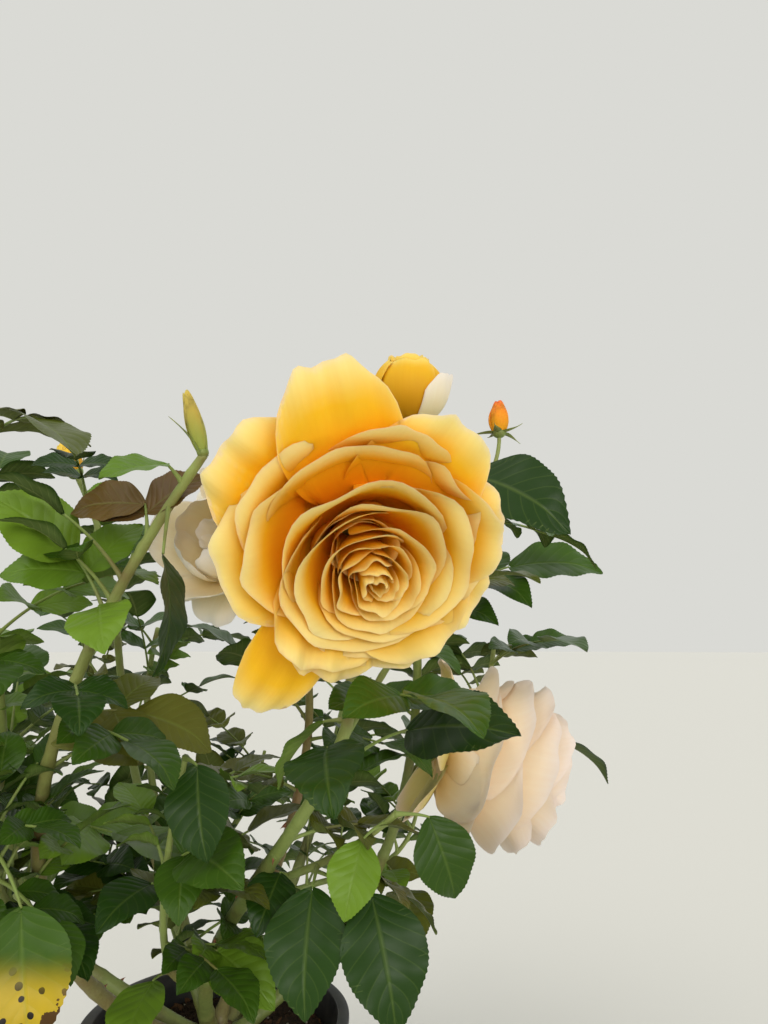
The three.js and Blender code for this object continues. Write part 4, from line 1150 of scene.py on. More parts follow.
# %% [markdown]
# ## The blooms
#
# The main bloom is a large quartered rosette. Its eight guard petals have settled places, because
# each has its own character, and so have the folded ones round its core; the whorls inside them
# follow a rule that winds inwards. The other blooms are a half-open cream one behind it, a closed
# yellow globe and an old, faded one that nods.
#
# A petal is either set down one by one, by its own length and lean, or raised as a bowl, which is
# given by where its rim should stand: at a radius from the flower's axis and at a height.

# %% Petals of a rosette
class Rosette:
    """The petals of one bloom, from the outside inwards, each as its turn and its measures."""

    def __init__(self, seed):
        self.roll, self.petals = dice(seed), []

    def one(self, turn, length, half, lean, cup, **more):
        settings = dict(length=length, half=half, lean=lean, cup=cup, phase=6.28 * self.roll())
        settings.update(more)
        self.petals.append((turn, settings))

    def bowl(self, turn, radius, high, rim, spread, foot=6.0, **more):
        """A petal that swells out from its foot and then stands up: its rim at a radius and a height."""
        slope = math.degrees(math.atan2(radius - foot, high))
        lean = (1.5 * slope, 1.5 * slope - rim, rim)
        angle = np.radians(leaning(lean, LEAN_STEPS))
        length = math.hypot(radius - foot, high) / abs(np.exp(1j * angle).mean())
        settings = dict(length=length, half=radius * math.radians(spread), lean=lean, cup=radius * 0.75,
                        foot=foot, phase=6.28 * self.roll(), fall=0.6, tuck=1.2, ruffle=0.008,
                        skew=1.6 * (self.roll() - 0.5))
        settings.update(more)
        self.petals.append((turn, settings))

    def whorl(self, count, turn, radius, high, rim, **more):
        """A ring of bowls that overlap, each a little off its place."""
        for i in range(count):
            self.bowl(turn + 360 * i / count + 16 * (self.roll() - 0.5),
                      radius * (1 + 0.05 * (self.roll() - 0.5)), high + 3 * (self.roll() - 0.5),
                      rim + 4 * (self.roll() - 0.5), 243 / count, **more)


print("a whorl of three petals spreads each over", round(2 * 243 / 3), "degrees")


# %% The large bloom
def main_petals(rose):
    # Guards, from the back forwards.
    rose.one(147, 64, 29, (40, 72, 82), 40, roll_back=22, ruffle=0.04, waves=3.5, raised=-6)
    rose.one(112, 72, 22, (42, 74, 90), 40, roll_back=26, ruffle=0.03, waves=3, raised=2)
    rose.one(-112, 82, 17, (46, 78, 92), 40, roll_back=18, ruffle=0.02, waves=3, raised=-6)
    rose.one(67, 60, 27, (36, 66, 74), 40, roll_back=14, ruffle=0.034, waves=3, raised=0)
    rose.one(16, 55, 27, (38, 66, 72), 40, roll_back=16, ruffle=0.028, waves=3, raised=-5)
    rose.one(-24, 52, 26, (36, 62, 64), 40, roll_back=10, ruffle=0.018, raised=1)
    rose.one(-62, 55, 26, (36, 60, 62), 40, roll_back=12, ruffle=0.02, raised=-3)
    rose.one(-96, 57, 25, (38, 62, 64), 40, roll_back=12, ruffle=0.035, waves=4, raised=-4)
    # The folded petals round the core.
    rose.bowl(-168, 50, 24, 50, 44, roll_back=60, fall=1.0, tuck=-1, ruffle=0.012, raised=2)
    rose.bowl(140, 48, 26, 44, 44, roll_back=36, fall=1.0, tuck=-1, raised=3, ruffle=0.01)
    rose.bowl(84, 48, 29, 38, 30, roll_back=16, ruffle=0.02, fall=1.0, tuck=1, raised=4)
    rose.bowl(22, 45, 30, 34, 33, roll_back=14, ruffle=0.02, fall=1.0, tuck=0.5, raised=6)
    rose.bowl(-44, 45, 30, 34, 36, roll_back=14, ruffle=0.02, fall=1.0, tuck=1, raised=5)
    rose.bowl(-104, 45, 28, 38, 36, roll_back=20, ruffle=0.035, waves=4, fall=1.0, tuck=1, raised=5)
    # Broad inner petals, open on the upper left and crowded on the lower right.
    rose.bowl(176, 42, 30, 36, 50, roll_back=24, fall=0.9, tuck=-1.5, ruffle=0.016)
    rose.bowl(112, 42, 32, 32, 48, roll_back=22, fall=0.9, tuck=1.5, ruffle=0.018)
    rose.bowl(45, 39, 31, 20, 42, roll_back=12, tuck=1, ruffle=0.022)
    rose.bowl(-20, 40, 31, 20, 44, roll_back=24, tuck=1.5, ruffle=0.022)
    rose.bowl(-80, 40, 30, 22, 44, roll_back=26, tuck=1.5, ruffle=0.022)
    # The heart, which sits a little below the middle.
    rose.whorl(3, 130, 34, 33, 34, roll_back=16, tuck=1.5, offset=(2, -3), ruffle=0.022)
    rose.whorl(3, 70, 27, 32, 28, roll_back=16, foot=5, offset=(3.5, -6), tuck=1.5, ruffle=0.024)
    rose.whorl(3, 150, 20, 31, 24, roll_back=14, foot=4, offset=(4.5, -8.5), tuck=1.8, ruffle=0.026)
    rose.whorl(3, 80, 14.5, 31, 16, roll_back=12, foot=3, offset=(4.5, -9), tuck=1.6, ruffle=0.024)
    rose.whorl(3, 20, 9.5, 32, 8, roll_back=10, foot=2.4, offset=(4.5, -9), tuck=1.4, ruffle=0.02)
    rose.whorl(3, 80, 5.5, 33, -4, roll_back=6, foot=1.8, tuck=1.2, offset=(4.5, -9))
    rose.whorl(2, 100, 2.6, 33, -10, foot=1.2, tuck=0.6, offset=(4.5, -9))
    # Short petals that close the floor of the cup.
    rose.bowl(135, 20, 25, 24, 50, foot=3, offset=(1, -2))
    rose.whorl(3, 30, 12, 23, 20, foot=1.5)


print("main bloom: 8 guards, 11 folded and inner petals, then the heart")


# %% The smaller blooms
# Petal colours at foot, middle and rim, partly each rose's own and partly painted light: the deep foot colour
# is a painted glow of light bounced in the cup, and the pale rim colour is partly a painted highlight.
APRICOT = ("#fa9a06", "#ffc020", "#ffe99c")
IVORY = ("#f4dc98", "#f8efd4", "#fbf8f0")
GOLD = ("#c98a0a", "#e9b120", "#f4d870")
BLUSH = ("#f3ca86", "#f7e4c6", "#fbeee6")
GREENED = ("#b8b04a", "#dccb84", "#efd2bf")


def cream_petals(rose):
    for turn, length in ((152, 40), (206, 39), (262, 36), (318, 36), (14, 36), (80, 38)):
        rose.one(turn, length, 19, (42, 74, 92), 26, roll_back=40, ruffle=0.02,
                 raised=2 * (turn in (206, 318, 80)))
    for turn in (175, 265, 355, 85):
        rose.one(turn, 44, 20, (78, 34, 4), 22, foot=5, roll_back=14, tuck=1, raised=3)
    for turn in (130, 220, 310, 40):
        rose.one(turn, 42, 17, (80, 14, -46), 15, foot=4, tuck=1, raised=4)
    rose.whorl(3, 110, 7, 30, -8, foot=2.4)


def yellow_petals(rose):
    for turn in (-20, 70, 160, 250):
        rose.one(turn, 46, 19, (88, 8, -62), 14, foot=4, tuck=1, raised=1)
    for turn in (20, 110, 200, 290):
        rose.one(turn, 44, 16, (80, 6, -66), 12, foot=3.4, tuck=0.8, raised=2)
    for radius, high, rim in ((11, 38, -10), (7.5, 37, -8), (4, 36, -6)):
        rose.whorl(3, 40 + 9 * radius, radius, high, rim, foot=2, tuck=0.8)
    # One pale petal has come loose and leans out.
    rose.one(-38, 37, 16, (92, 24, -8), 16, foot=4, roll_back=24, colours=IVORY)


def faded_petals(rose):
    for turn in (-72, -112, 160, 92):
        rose.one(turn, 46, 24, (76, 112, 132), 24, roll_back=10, ruffle=0.02, foot=5, colours=GREENED)
    rose.whorl(4, 80, 49, 22, 56, roll_back=34, fall=1.0, ruffle=0.014)
    rose.whorl(4, 40, 48, 40, 36, roll_back=30, fall=0.9, ruffle=0.016, tuck=2)
    rose.whorl(4, 85, 43, 54, 24, roll_back=28, fall=0.9, ruffle=0.016, tuck=2)
    rose.whorl(4, 50, 35, 63, 14, roll_back=24, fall=0.8, ruffle=0.014)
    rose.whorl(3, 30, 26, 68, 8, roll_back=16, ruffle=0.014)
    rose.whorl(3, 80, 17, 70, 4, roll_back=10, foot=4)
    rose.whorl(3, 20, 9, 71, 0, foot=3)


print("petal colours, foot to rim:", APRICOT, IVORY, GOLD, BLUSH)


# %% Grow the petals
BLOOMS = {
    "bloom_main": dict(
        petals=main_petals, grows="foliage_front", back=34, lead=40, stalk=(2.4, 2.6), hip=7.5,
        sepals=24, sepal_lean=125, colours=APRICOT),
    "bloom_cream": dict(
        petals=cream_petals, grows="foliage_middle", back=12, lead=10, stalk=(1.7, 1.9), hip=5.5,
        sepals=18, sepal_lean=115, colours=IVORY),
    "bloom_yellow": dict(
        petals=yellow_petals, grows="foliage_right", back=6, lead=6, stalk=(1.9, 2.0), hip=5.5,
        sepals=18, sepal_lean=105, colours=GOLD),
    "bloom_faded": dict(
        petals=faded_petals, start="cane_right", at=0.56, out=(-70, 40), back=14, lead=12,
        stalk=(1.6, 1.8), hip=5.5, sepals=22, sepal_lean=120, colours=BLUSH),
}

PETAL_PIECES = []
for name, bloom in BLOOMS.items():
    flower, heap = flower_frame(*SEATS[name]), Heap()
    rose = Rosette(sum(map(ord, name)) * 97 + 11)
    bloom["petals"](rose)
    for turn, settings in rose.petals:
        colours = settings.pop("colours", bloom["colours"])
        points, v = petal(flower, turn, **settings)
        heap.add(points, PETAL_SHEET["faces"], PETAL_SHEET["uv"],
                 colours=petal_tint(PETAL_SHEET["u"], v, *colours))
    PETAL_PIECES.append((heap.piece("petals_" + name, PETAL_SKIN), name))
    print(name, "has", len(rose.petals), "petals")

# %% [markdown]
# ## Flower stalks, hips and sepals
#
# Under every bloom the stalk swells into a green hip, and five narrow sepals that once wrapped the
# bud fold back from it. Buds carry the same five sepals, still close to the petals or just opening.

# %% Hips and sepals
SEPAL_SHEET = shell(4, 14)
SEPAL_TIP = "#8a8f4e"


def lathe(start, axis, profile, sides=20):
    """A round body about an axis, from (length along the axis, radius) pairs, closed at both ends."""
    x, z = square_pair(axis)
    turn = np.linspace(0, 2 * np.pi, sides, endpoint=False)
    profile = np.array(profile, float)
    points = (start + axis * profile[:, :1])[:, None, :] + profile[:, 1][:, None, None] * (
        x * np.cos(turn)[:, None] + z * np.sin(turn)[:, None])
    return points.reshape(-1, 3), ring_faces(len(profile), sides), ring_uv(profile[:, 0], turn)


def egg_profile(radius, length, blunt):
    """The profile of a hip or a bud's base, fuller towards its foot by blunt."""
    s = (1 - np.cos(np.linspace(0.06, np.pi - 0.06, 14))) / 2
    return np.stack([s * length, radius * 2 * np.sqrt(s * (1 - s)) * (1 + blunt * (0.5 - s))], -1)


def add_sepals(heap, start, axis, length, lean, offset, roll, tone):
    """Five narrow sepals with drawn-out tips that curl."""
    x, y = square_pair(axis)
    u, v, side = SEPAL_SHEET["u"], SEPAL_SHEET["v"], SEPAL_SHEET["side"]
    for i in range(5):
        turn = math.radians(36 + 72 * i)
        out = x * math.cos(turn) + y * math.sin(turn)
        along = axis * math.cos(lean) + out * math.sin(lean)
        normal = axis * math.sin(lean) - out * math.cos(lean)
        across = np.cross(along, normal)
        root = start + out * offset - along * 1.5
        size = length * (0.85 + 0.3 * roll())
        wide = size * 0.15 * (np.sin(np.pi * np.clip(v + 0.12, 0, 1) ** 0.7) ** 1.2 * (1 - 0.4 * v) + 0.05)
        bendy = (0.5 * roll() - 0.3) * size * v ** 2
        points = (root + across * (u * wide)[:, None] + along * (size * v)[:, None]
                  + normal * (bendy + 0.4 * np.abs(u) * wide + side * 0.2)[:, None])
        heap.add(points, SEPAL_SHEET["faces"], SEPAL_SHEET["uv"], colours=tinted(points, tone, SEPAL_TIP, v))


print("faces of one sepal:", len(SEPAL_SHEET["faces"]))


# %% Stalks under the blooms
STALK_TINTS, HIP_TINTS, SEPAL_FOOT = ("#7d8f45", "#6f8238"), ("#7f9148", "#8a9a50"), "#6f8a3c"


def stalk_curve(flower, bloom):
    """The stalk from the tip of its stem, or from the side of a cane, to the underside of the hip."""
    end = flower["seat"] - flower["axis"] * bloom["hip"] * 0.6
    late = end - flower["axis"] * bloom["back"]
    if "grows" in bloom:
        stem = stem_of(MASSES[bloom["grows"]])["curve"]
        along = stem.tangent(1.0)
        start = stem.at(1.0) + along * GAP
    else:
        along = heading(*bloom["out"])
        start = side_start(CANES[bloom["start"]], bloom["at"], along, bloom["stalk"][0])
    return Curve(start, start + along * bloom["lead"], late, end)


CALYX_PIECES = []
for i, (name, bloom) in enumerate(BLOOMS.items()):
    flower = flower_frame(*SEATS[name])
    heap, roll, hip = Heap(), dice(4000 + i), bloom["hip"]
    curve = stalk_curve(flower, bloom)
    high = curve.length_to(1.0)
    taper = stalk_taper(*bloom["stalk"], 0.0, high, swell=0.4)
    points, faces, uv = tube(curve, 0.0, 1.0, taper, sides=14, step=1.6, relief=bark_relief(i),
                             root=1.0 if "grows" in bloom else 4.5)
    heap.add(points, faces, uv, colours=tinted(points, *STALK_TINTS, uv[:, 0] / high))
    points, faces, uv = lathe(flower["seat"] - flower["axis"] * hip * 1.3, flower["axis"],
                              egg_profile(hip, hip * 2.1, blunt=0.0))
    heap.add(points, faces, uv, colours=tinted(points, *HIP_TINTS, uv[:, 0] / hip))
    add_sepals(heap, flower["seat"], flower["axis"], bloom["sepals"], math.radians(bloom["sepal_lean"]),
               hip * 0.6, roll, SEPAL_FOOT)
    CALYX_PIECES.append((heap.piece("calyx_" + name, BARK), name))
print("calyx faces:", face_count(p for p, _ in CALYX_PIECES))

# %% [markdown]
# ## Buds
#
# A rose bud is a cone of petals that overlap in a spiral, held by the sepals. Each wrap below is a
# sheet rolled round the bud's own axis, and its far side stands a little further out than its near
# side, so the wraps overlap as they do in a real bud.

# %% Sizes of the buds
BUDS = [
    dict(mass="foliage_front_left", twig=0, radius=3.4, length=25, sepals=19, lean=0.1, style="green",
         aim=(-0.3, -0.1, 1.0)),
    dict(mass="foliage_mid_left", twig=0, radius=6.2, length=19, sepals=15, lean=0.75, style="yellow"),
    dict(mass="foliage_mid_left", twig=1, radius=3.2, length=9, sepals=6, lean=0.2, style="brown"),
    dict(mass="foliage_right", twig=1, radius=5.4, length=19, sepals=16, lean=1.5, style="orange"),
]
BUD_TINTS = {
    "green": ("#8fa24c", "#b9a54a", "#c9b65a"), "yellow": ("#d99a20", "#f0bf3c", "#f6d25a"),
    "brown": ("#7c3f28", "#8f4a2e", "#a55a38"), "orange": ("#f3a61c", "#f08a24", "#e2603a"),
}
WRAPS, WRAP_SPREAD = 9, 88     # petals round a bud, and half the turn that each one covers


def bud_wrap(start, axis, radius, length, turn):
    """Points of one petal rolled round a bud, and how far up each of them lies."""
    u, v, side = PETAL_SHEET["u"], PETAL_SHEET["v"], PETAL_SHEET["side"]
    x, y = square_pair(axis)
    angle = math.radians(turn) + u * math.radians(WRAP_SPREAD)
    top = v * (1 - 0.1 * u * u)
    around = radius * (0.12 + 0.95 * np.sin(np.pi * (0.1 + 0.82 * top)) ** 0.8) * (1 + 0.07 * u)
    out = x * np.cos(angle)[:, None] + y * np.sin(angle)[:, None]
    return start + axis * (top * length)[:, None] + out * (around + side * 0.15)[:, None], top


print("buds:", len(BUDS), "with", WRAPS, "wraps each")


# %% Grow the buds
def add_bud(petals, greens, bud, foot, axis, roll):
    radius = bud["radius"]
    for k in range(WRAPS):
        layer = k // 3
        points, top = bud_wrap(foot + axis * radius * 0.4, axis, radius * (1 - 0.07 * layer) * 0.95,
                               bud["length"] * (1.0 + 0.02 * k) - radius * 0.4, 120 * k + 37 * layer)
        petals.add(points, PETAL_SHEET["faces"], PETAL_SHEET["uv"],
                   colours=petal_tint(PETAL_SHEET["u"], top, *BUD_TINTS[bud["style"]]))
    points, faces, uv = lathe(foot, axis, egg_profile(radius * 0.72, radius * 1.5, blunt=0.3), sides=16)
    tone = "#7d4a32" if bud["style"] == "brown" else SEPAL_FOOT
    greens.add(points, faces, uv, colours=tinted(points, tone, tone, uv[:, 0]))
    add_sepals(greens, foot + axis * radius * 0.5, axis, bud["sepals"], bud["lean"], radius * 0.45, roll,
               tone)


bud_petals, bud_greens = {}, {}
for i, bud in enumerate(BUDS):
    twig = TWIGS[bud["mass"]][bud["twig"]]
    axis = unit(np.array(bud["aim"])) if "aim" in bud else twig["curve"].tangent(twig["last"])
    foot = twig["curve"].at(twig["last"]) - axis
    add_bud(bud_petals.setdefault(bud["mass"], Heap()), bud_greens.setdefault(bud["mass"], Heap()),
            bud, foot, axis, dice(700 + i))
BUD_PIECES = {mass: heap.piece("buds_" + mass, PETAL_SKIN) for mass, heap in bud_petals.items()}
BUD_GREENS = {mass: heap.piece("bud_sepals_" + mass, BARK) for mass, heap in bud_greens.items()}
print("bud faces:", face_count(BUD_PIECES.values()), "and green ones:", face_count(BUD_GREENS.values()))

# %% [markdown]
# ## The pot
#
# A nursery pot is injection moulded in one piece of thin black polypropylene: a plain tapering wall,
# a stiffening band with a rounded lip at the top, a step at the foot and drain holes in the base.
# It is turned from one profile, then the drain holes are cut by a Boolean.

# %% Turn the pot
POT = dict(height=135.0, rim=78.0, band=76.0, band_depth=16.0, wall_top=73.5, base=56.0, wall=2.2, floor=2.6,
           drains=6, drain_radius=5.0, drain_ring=44.0)     # all but the number of drains in millimetres
CORNER = 0.6                                                # radius of the pot's moulded corners


def pot_inside(z):
    share = (z - POT["floor"]) / (POT["height"] - POT["floor"])
    return POT["base"] - POT["wall"] + (POT["wall_top"] - POT["base"]) * share


def pot_outside(z):
    return pot_inside(z) + POT["wall"]


def turn_profile(name, profile, sides=160):
    """A closed body turned about Z from (radius, height) pairs that start and end near the axis."""
    profile = np.array(profile, float)
    turn = np.linspace(0, 2 * np.pi, sides, endpoint=False)
    points = np.stack([profile[:, :1] * np.cos(turn), profile[:, :1] * np.sin(turn),
                       profile[:, 1:] * np.ones(sides)], -1).reshape(-1, 3)
    return build_mesh(name, points, ring_faces(len(profile), sides))


def rounded(points):
    """The profile with each corner rounded off."""
    points = [np.array(p, float) for p in points]
    out = [points[0]]
    for a, b, c in zip(points, points[1:], points[2:]):
        reach = min(CORNER, np.linalg.norm(b - a) * 0.45, np.linalg.norm(c - b) * 0.45)
        first, last = b + unit(a - b) * reach, b + unit(c - b) * reach
        out += [(1 - t) ** 2 * first + 2 * t * (1 - t) * b + t * t * last for t in np.linspace(0, 1, 4)]
    return out + [points[-1]]


top, band_foot = POT["height"], POT["height"] - POT["band_depth"]
pot = turn_profile("pot_shell", rounded([
    (1.0, 0.0), (POT["base"] - 2.5, 0.0), (POT["base"], 2.0), (pot_outside(9), 9.0),
    (pot_outside(9) + 0.5, 10.0), (pot_outside(band_foot) + 0.2, band_foot),
    (POT["band"], band_foot + 1.5), (POT["band"] + 0.4, top - 4), (POT["rim"], top - 3.2),
    (POT["rim"], top), (pot_inside(top), top), (pot_inside(POT["floor"]), POT["floor"]),
    (1.0, POT["floor"])]))
print("pot faces before drilling:", face_count([pot]))


# %% Drill the drain holes
SLIVER = 2e-6     # edges shorter than this, in metres, are what a Boolean leaves behind


def baked(piece, *unwanted):
    """The piece with its modifiers applied, as a plain mesh, and helper objects removed."""
    graph = bpy.context.evaluated_depsgraph_get()
    mesh = bpy.data.meshes.new_from_object(piece.evaluated_get(graph))
    piece.modifiers.clear()
    piece.data = mesh
    for helper in unwanted:
        bpy.data.objects.remove(helper)
    return piece


def mesh_from(name, made):
    """A plain mesh from an edit mesh, which is then let go."""
    mesh = bpy.data.meshes.new(name)
    made.to_mesh(mesh)
    made.free()
    return mesh


shaft = bmesh.new()
for i in range(POT["drains"]):
    turn = 2 * math.pi * i / POT["drains"]
    made = bmesh.ops.create_cone(shaft, cap_ends=True, segments=24, radius1=POT["drain_radius"] * MM,
                                 radius2=POT["drain_radius"] * MM, depth=20 * MM)
    middle = POT["drain_ring"] * MM * np.array([math.cos(turn), math.sin(turn), 0])
    bmesh.ops.translate(shaft, verts=made["verts"], vec=middle)
drill = placed("drill", mesh_from("drill", shaft))
cut = pot.modifiers.new("drain_holes", "BOOLEAN")
cut.object, cut.operation, cut.solver = drill, "DIFFERENCE", "EXACT"
baked(pot, drill)
cleaned = bmesh.new()
cleaned.from_mesh(pot.data)
bmesh.ops.dissolve_degenerate(cleaned, dist=SLIVER, edges=cleaned.edges)
cleaned.to_mesh(pot.data)
cleaned.free()
print("pot faces:", face_count([pot]))


# %% Pot material
DUST, FLOW = 45.5, 111.1     # sizes of the dust's clouds and of the flow lines round the wall, in millimetres


def paint_stops(ramp, *stops):
    """Sets a ramp's two (place, hex colour) stops."""
    for element, (place, code) in zip(ramp.color_ramp.elements, stops):
        element.position, element.color = place, linear(code)


def pot_material():
    """Black moulded polypropylene: satin, with faint flow lines round the wall, dust and scuffs."""
    material, tree, skin = start_material("black_moulded_polypropylene", {"IOR": 1.49})
    place = add(tree, COORDINATES).outputs["Object"]
    dust = add(tree, NOISE, {"Vector": place, "Scale": scale_for(DUST), "Detail": 8.0, "Roughness": 0.65})
    # Flow lines run level round the wall, so the pattern is pressed flat along Z.
    pressed = add(tree, MAPPING, {"Vector": place, "Scale": (1.0, 1.0, 14.0)})
    flow = add(tree, NOISE, {"Vector": pressed, "Scale": scale_for(FLOW), "Detail": 3.0})
    shade = add(tree, "ShaderNodeValToRGB", {"Fac": dust})
    paint_stops(shade, (0.42, "#16181a"), (0.75, "#55504a"))
    rough = add(tree, MATHS, {0: dust, 1: 0.35, 2: 0.28}, operation="MULTIPLY_ADD")
    height = add(tree, MATHS, {0: flow, 1: dust}, operation="ADD")
    relief = add(tree, BUMP, {"Height": height, "Strength": 0.12, "Distance": 0.4 * MM})
    wire(tree, skin, {"Base Color": shade, "Roughness": rough, "Normal": relief})
    return material


pot.data.materials.append(pot_material())
print("pot material:", pot.data.materials[0].name)

# %% [markdown]
# ## Compost and what lies on it
#
# Potting compost is a dark, damp crumb of peat and bark. The bed is one turned body whose top is
# pushed into lumps. Crumbs, bark chips and a few pale grains of grit are dealt over it by a Geometry
# Nodes tree: points on the bed, a small stone or chip on each, turned and sized at random.

# %% Compost materials
def crumbly_material(name, dark, light, grit):
    """Damp peat, bark or cork in patchy tones, nearly black at the dark end. One grain sets both the colour
    and the bump, so the dark end lies in the bump's hollows: partly the crumb's own tone, partly painted
    shade in those hollows.
    """
    material, tree, skin = start_material(name, {"Roughness": 0.93, "IOR": 1.4})
    place = add(tree, COORDINATES).outputs["Object"]
    grain = add(tree, NOISE, {"Vector": place, "Scale": scale_for(grit), "Detail": 8.0, "Roughness": 0.7})
    # The dark stop lies where the bump sinks in, so it is partly painted shade in the hollows.
    shade = add(tree, "ShaderNodeValToRGB", {"Fac": grain})
    paint_stops(shade, (0.36, dark), (0.68, light))
    relief = add(tree, BUMP, {"Height": grain, "Strength": 0.8, "Distance": 1.2 * MM})
    wire(tree, skin, {"Base Color": shade, "Normal": relief})
    return material


# The last number is the size of the crumb in millimetres.
COMPOST = crumbly_material("damp_peat_compost", "#15100c", "#4a3626", 3.125)
BARK_CHIP = crumbly_material("composted_bark_chip", "#2f2016", "#7a5636", 2.381)
GRIT = crumbly_material("pale_horticultural_grit", "#8f887a", "#cfc8b8", 1.667)
print("compost materials:", [m.name for m in (COMPOST, BARK_CHIP, GRIT)])


# %% Lay the compost
BED_EDGE = 71.2     # radius of the bed's level top, in millimetres


def points_of(piece):
    """The piece's points, in millimetres."""
    flat = np.empty(len(piece.data.vertices) * 3, np.float32)
    piece.data.vertices.foreach_get("co", flat)
    return flat.reshape(-1, 3) / MM


def move_points(piece, points):
    piece.data.vertices.foreach_set("co", (points * MM).astype(np.float32).ravel())
    piece.data.update()


floor_top, shoulder = POT["floor"] + GAP, GROUND - 3
bed = turn_profile("compost_bed", [
    (1.0, floor_top), (pot_inside(POT["floor"]) - GAP, floor_top), (pot_inside(shoulder) - GAP, shoulder)
] + [(r, GROUND) for r in np.linspace(BED_EDGE, 1.0, 48)], sides=150)
place = points_of(bed)
x, y, z = place.T
r = np.hypot(x, y)
lump = 1.5 + np.sin(0.19 * x + 1.3) * np.cos(0.16 * y) + 0.5 * np.sin(0.31 * (x - y))
crumb = 0.55 * np.sin(0.83 * x + 2 * np.sin(0.4 * y)) * np.cos(0.91 * y) + 0.3 * np.sin(1.9 * x - 1.3 * y)
sunk = np.maximum(0, lump) + 0.4 + crumb * smooth(20, 30, r)
place[:, 2] -= np.where((z > GROUND - 1) & (r > 20), sunk, 0)
move_points(bed, place)
bed.data.materials.append(COMPOST)
print("compost faces:", face_count([bed]))


# %% Geometry Nodes helpers
def new_tree(name, inputs):
    """A node tree with named inputs: its group input, and the identifier of each input by name."""
    tree = bpy.data.node_groups.new(name, "GeometryNodeTree")
    sockets = {}
    for label, kind in {"Geometry": "Geometry", **inputs}.items():
        socket = tree.interface.new_socket(label, in_out="INPUT", socket_type="NodeSocket" + kind)
        sockets[label] = socket.identifier
    tree.interface.new_socket("Geometry", in_out="OUTPUT", socket_type="NodeSocketGeometry")
    return tree, sockets, add(tree, "NodeGroupInput").outputs


def deal_out(tree, given, spots, rotation, material):
    """Ends a tree: a copy of the thing on each spot, of a random size, made real and painted."""
    size = add(tree, "FunctionNodeRandomValue", {
        2: given["Smallest"], 3: given["Largest"], "Seed": given["Seed"]}, data_type="FLOAT")
    thing = add(tree, "GeometryNodeObjectInfo", {"Object": given["Thing"]})
    dealt = add(tree, "GeometryNodeInstanceOnPoints", {
        "Points": spots, "Instance": thing.outputs["Geometry"], "Rotation": rotation, "Scale": size})
    real = add(tree, "GeometryNodeRealizeInstances", {0: dealt})
    painted = add(tree, "GeometryNodeSetMaterial", {"Geometry": real, "Material": material})
    add(tree, "NodeGroupOutput", {0: painted})


def grown(piece, tree, sockets, thing, settings):
    """Runs a tree on a piece with the thing to deal out and its sizes, and keeps the plain mesh."""
    live = piece.modifiers.new("deal_out", "NODES")
    live.node_group = tree
    for label, value in {"Thing": thing, **settings}.items():
        live[sockets[label]] = value
    return baked(piece, thing)


SIZES = {"Density": "Float", "Seed": "Int", "Smallest": "Float", "Largest": "Float"}
print("inputs that both trees share:", ["Thing", *SIZES])


# %% Strew crumbs, chips and grit
LEVEL = 0.6                       # how far up a face has to look for a stone to lie on it
ANY_TURN = (6.3, 6.3, 6.3)        # up to a whole turn about each axis, in radians


def small_stone(name, stretch, seed):
    """A rough chip one unit long, from an icosphere pushed about by dice."""
    made = bmesh.new()
    bmesh.ops.create_icosphere(made, subdivisions=1, radius=0.5)
    roll = dice(seed)
    for vertex in made.verts:
        vertex.co = vertex.co * (0.75 + 0.5 * roll())
        vertex.co.x, vertex.co.y, vertex.co.z = (c * s for c, s in zip(vertex.co, stretch))
    return placed(name, mesh_from(name, made))


def scatter_tree(name, material):
    """Geometry Nodes: deal copies of a stone over the level part of a surface, turned at random."""
    tree, sockets, given = new_tree(name, {"Thing": "Object", **SIZES})
    normal = add(tree, "GeometryNodeInputNormal")
    upward = add(tree, "ShaderNodeSeparateXYZ", {0: normal}).outputs["Z"]
    level = add(tree, "FunctionNodeCompare", {0: upward, 1: LEVEL}, data_type="FLOAT",
                operation="GREATER_THAN")
    spots = add(tree, "GeometryNodeDistributePointsOnFaces", {
        "Mesh": given["Geometry"], "Selection": level, "Density": given["Density"], "Seed": given["Seed"]})
    turn = add(tree, "FunctionNodeRandomValue", {
        1: ANY_TURN, "Seed": given["Seed"]}, data_type="FLOAT_VECTOR")
    deal_out(tree, given, spots, turn, material)
    return tree, sockets


def scattered(name, stone, material, **settings):
    """One plain mesh of stones lying on the bed. Density is per square metre and sizes are in metres."""
    tree, sockets = scatter_tree(name, material)
    return grown(placed(name, bed.data.copy()), tree, sockets, stone, settings)


CRUMBS = [
    scattered("compost_crumbs", small_stone("crumb", (1.0, 0.8, 0.7), 5), COMPOST,
              Density=90000.0, Seed=3, Smallest=1.2 * MM, Largest=3.2 * MM),
    scattered("bark_chips", small_stone("chip", (1.7, 0.8, 0.35), 9), BARK_CHIP,
              Density=9000.0, Seed=8, Smallest=3 * MM, Largest=7 * MM),
    scattered("grit_grains", small_stone("grain", (1.0, 0.9, 0.8), 12), GRIT,
              Density=5000.0, Seed=4, Smallest=1 * MM, Largest=2.6 * MM),
]
print("loose pieces on the compost, in faces:", [len(p.data.polygons) for p in CRUMBS])

# %% [markdown]
# ## Prickles
#
# A rose has prickles, not thorns: they grow from the skin alone, are broad and flat at the foot and
# hook down towards the root. This kind has only a few. A Geometry Nodes tree strews them over the
# canes at least a set distance apart, turns each to stand square on the bark and points its hook down.

# %% Shape a prickle
PRICKLE_RINGS, PRICKLE_SIDES = 6, 8


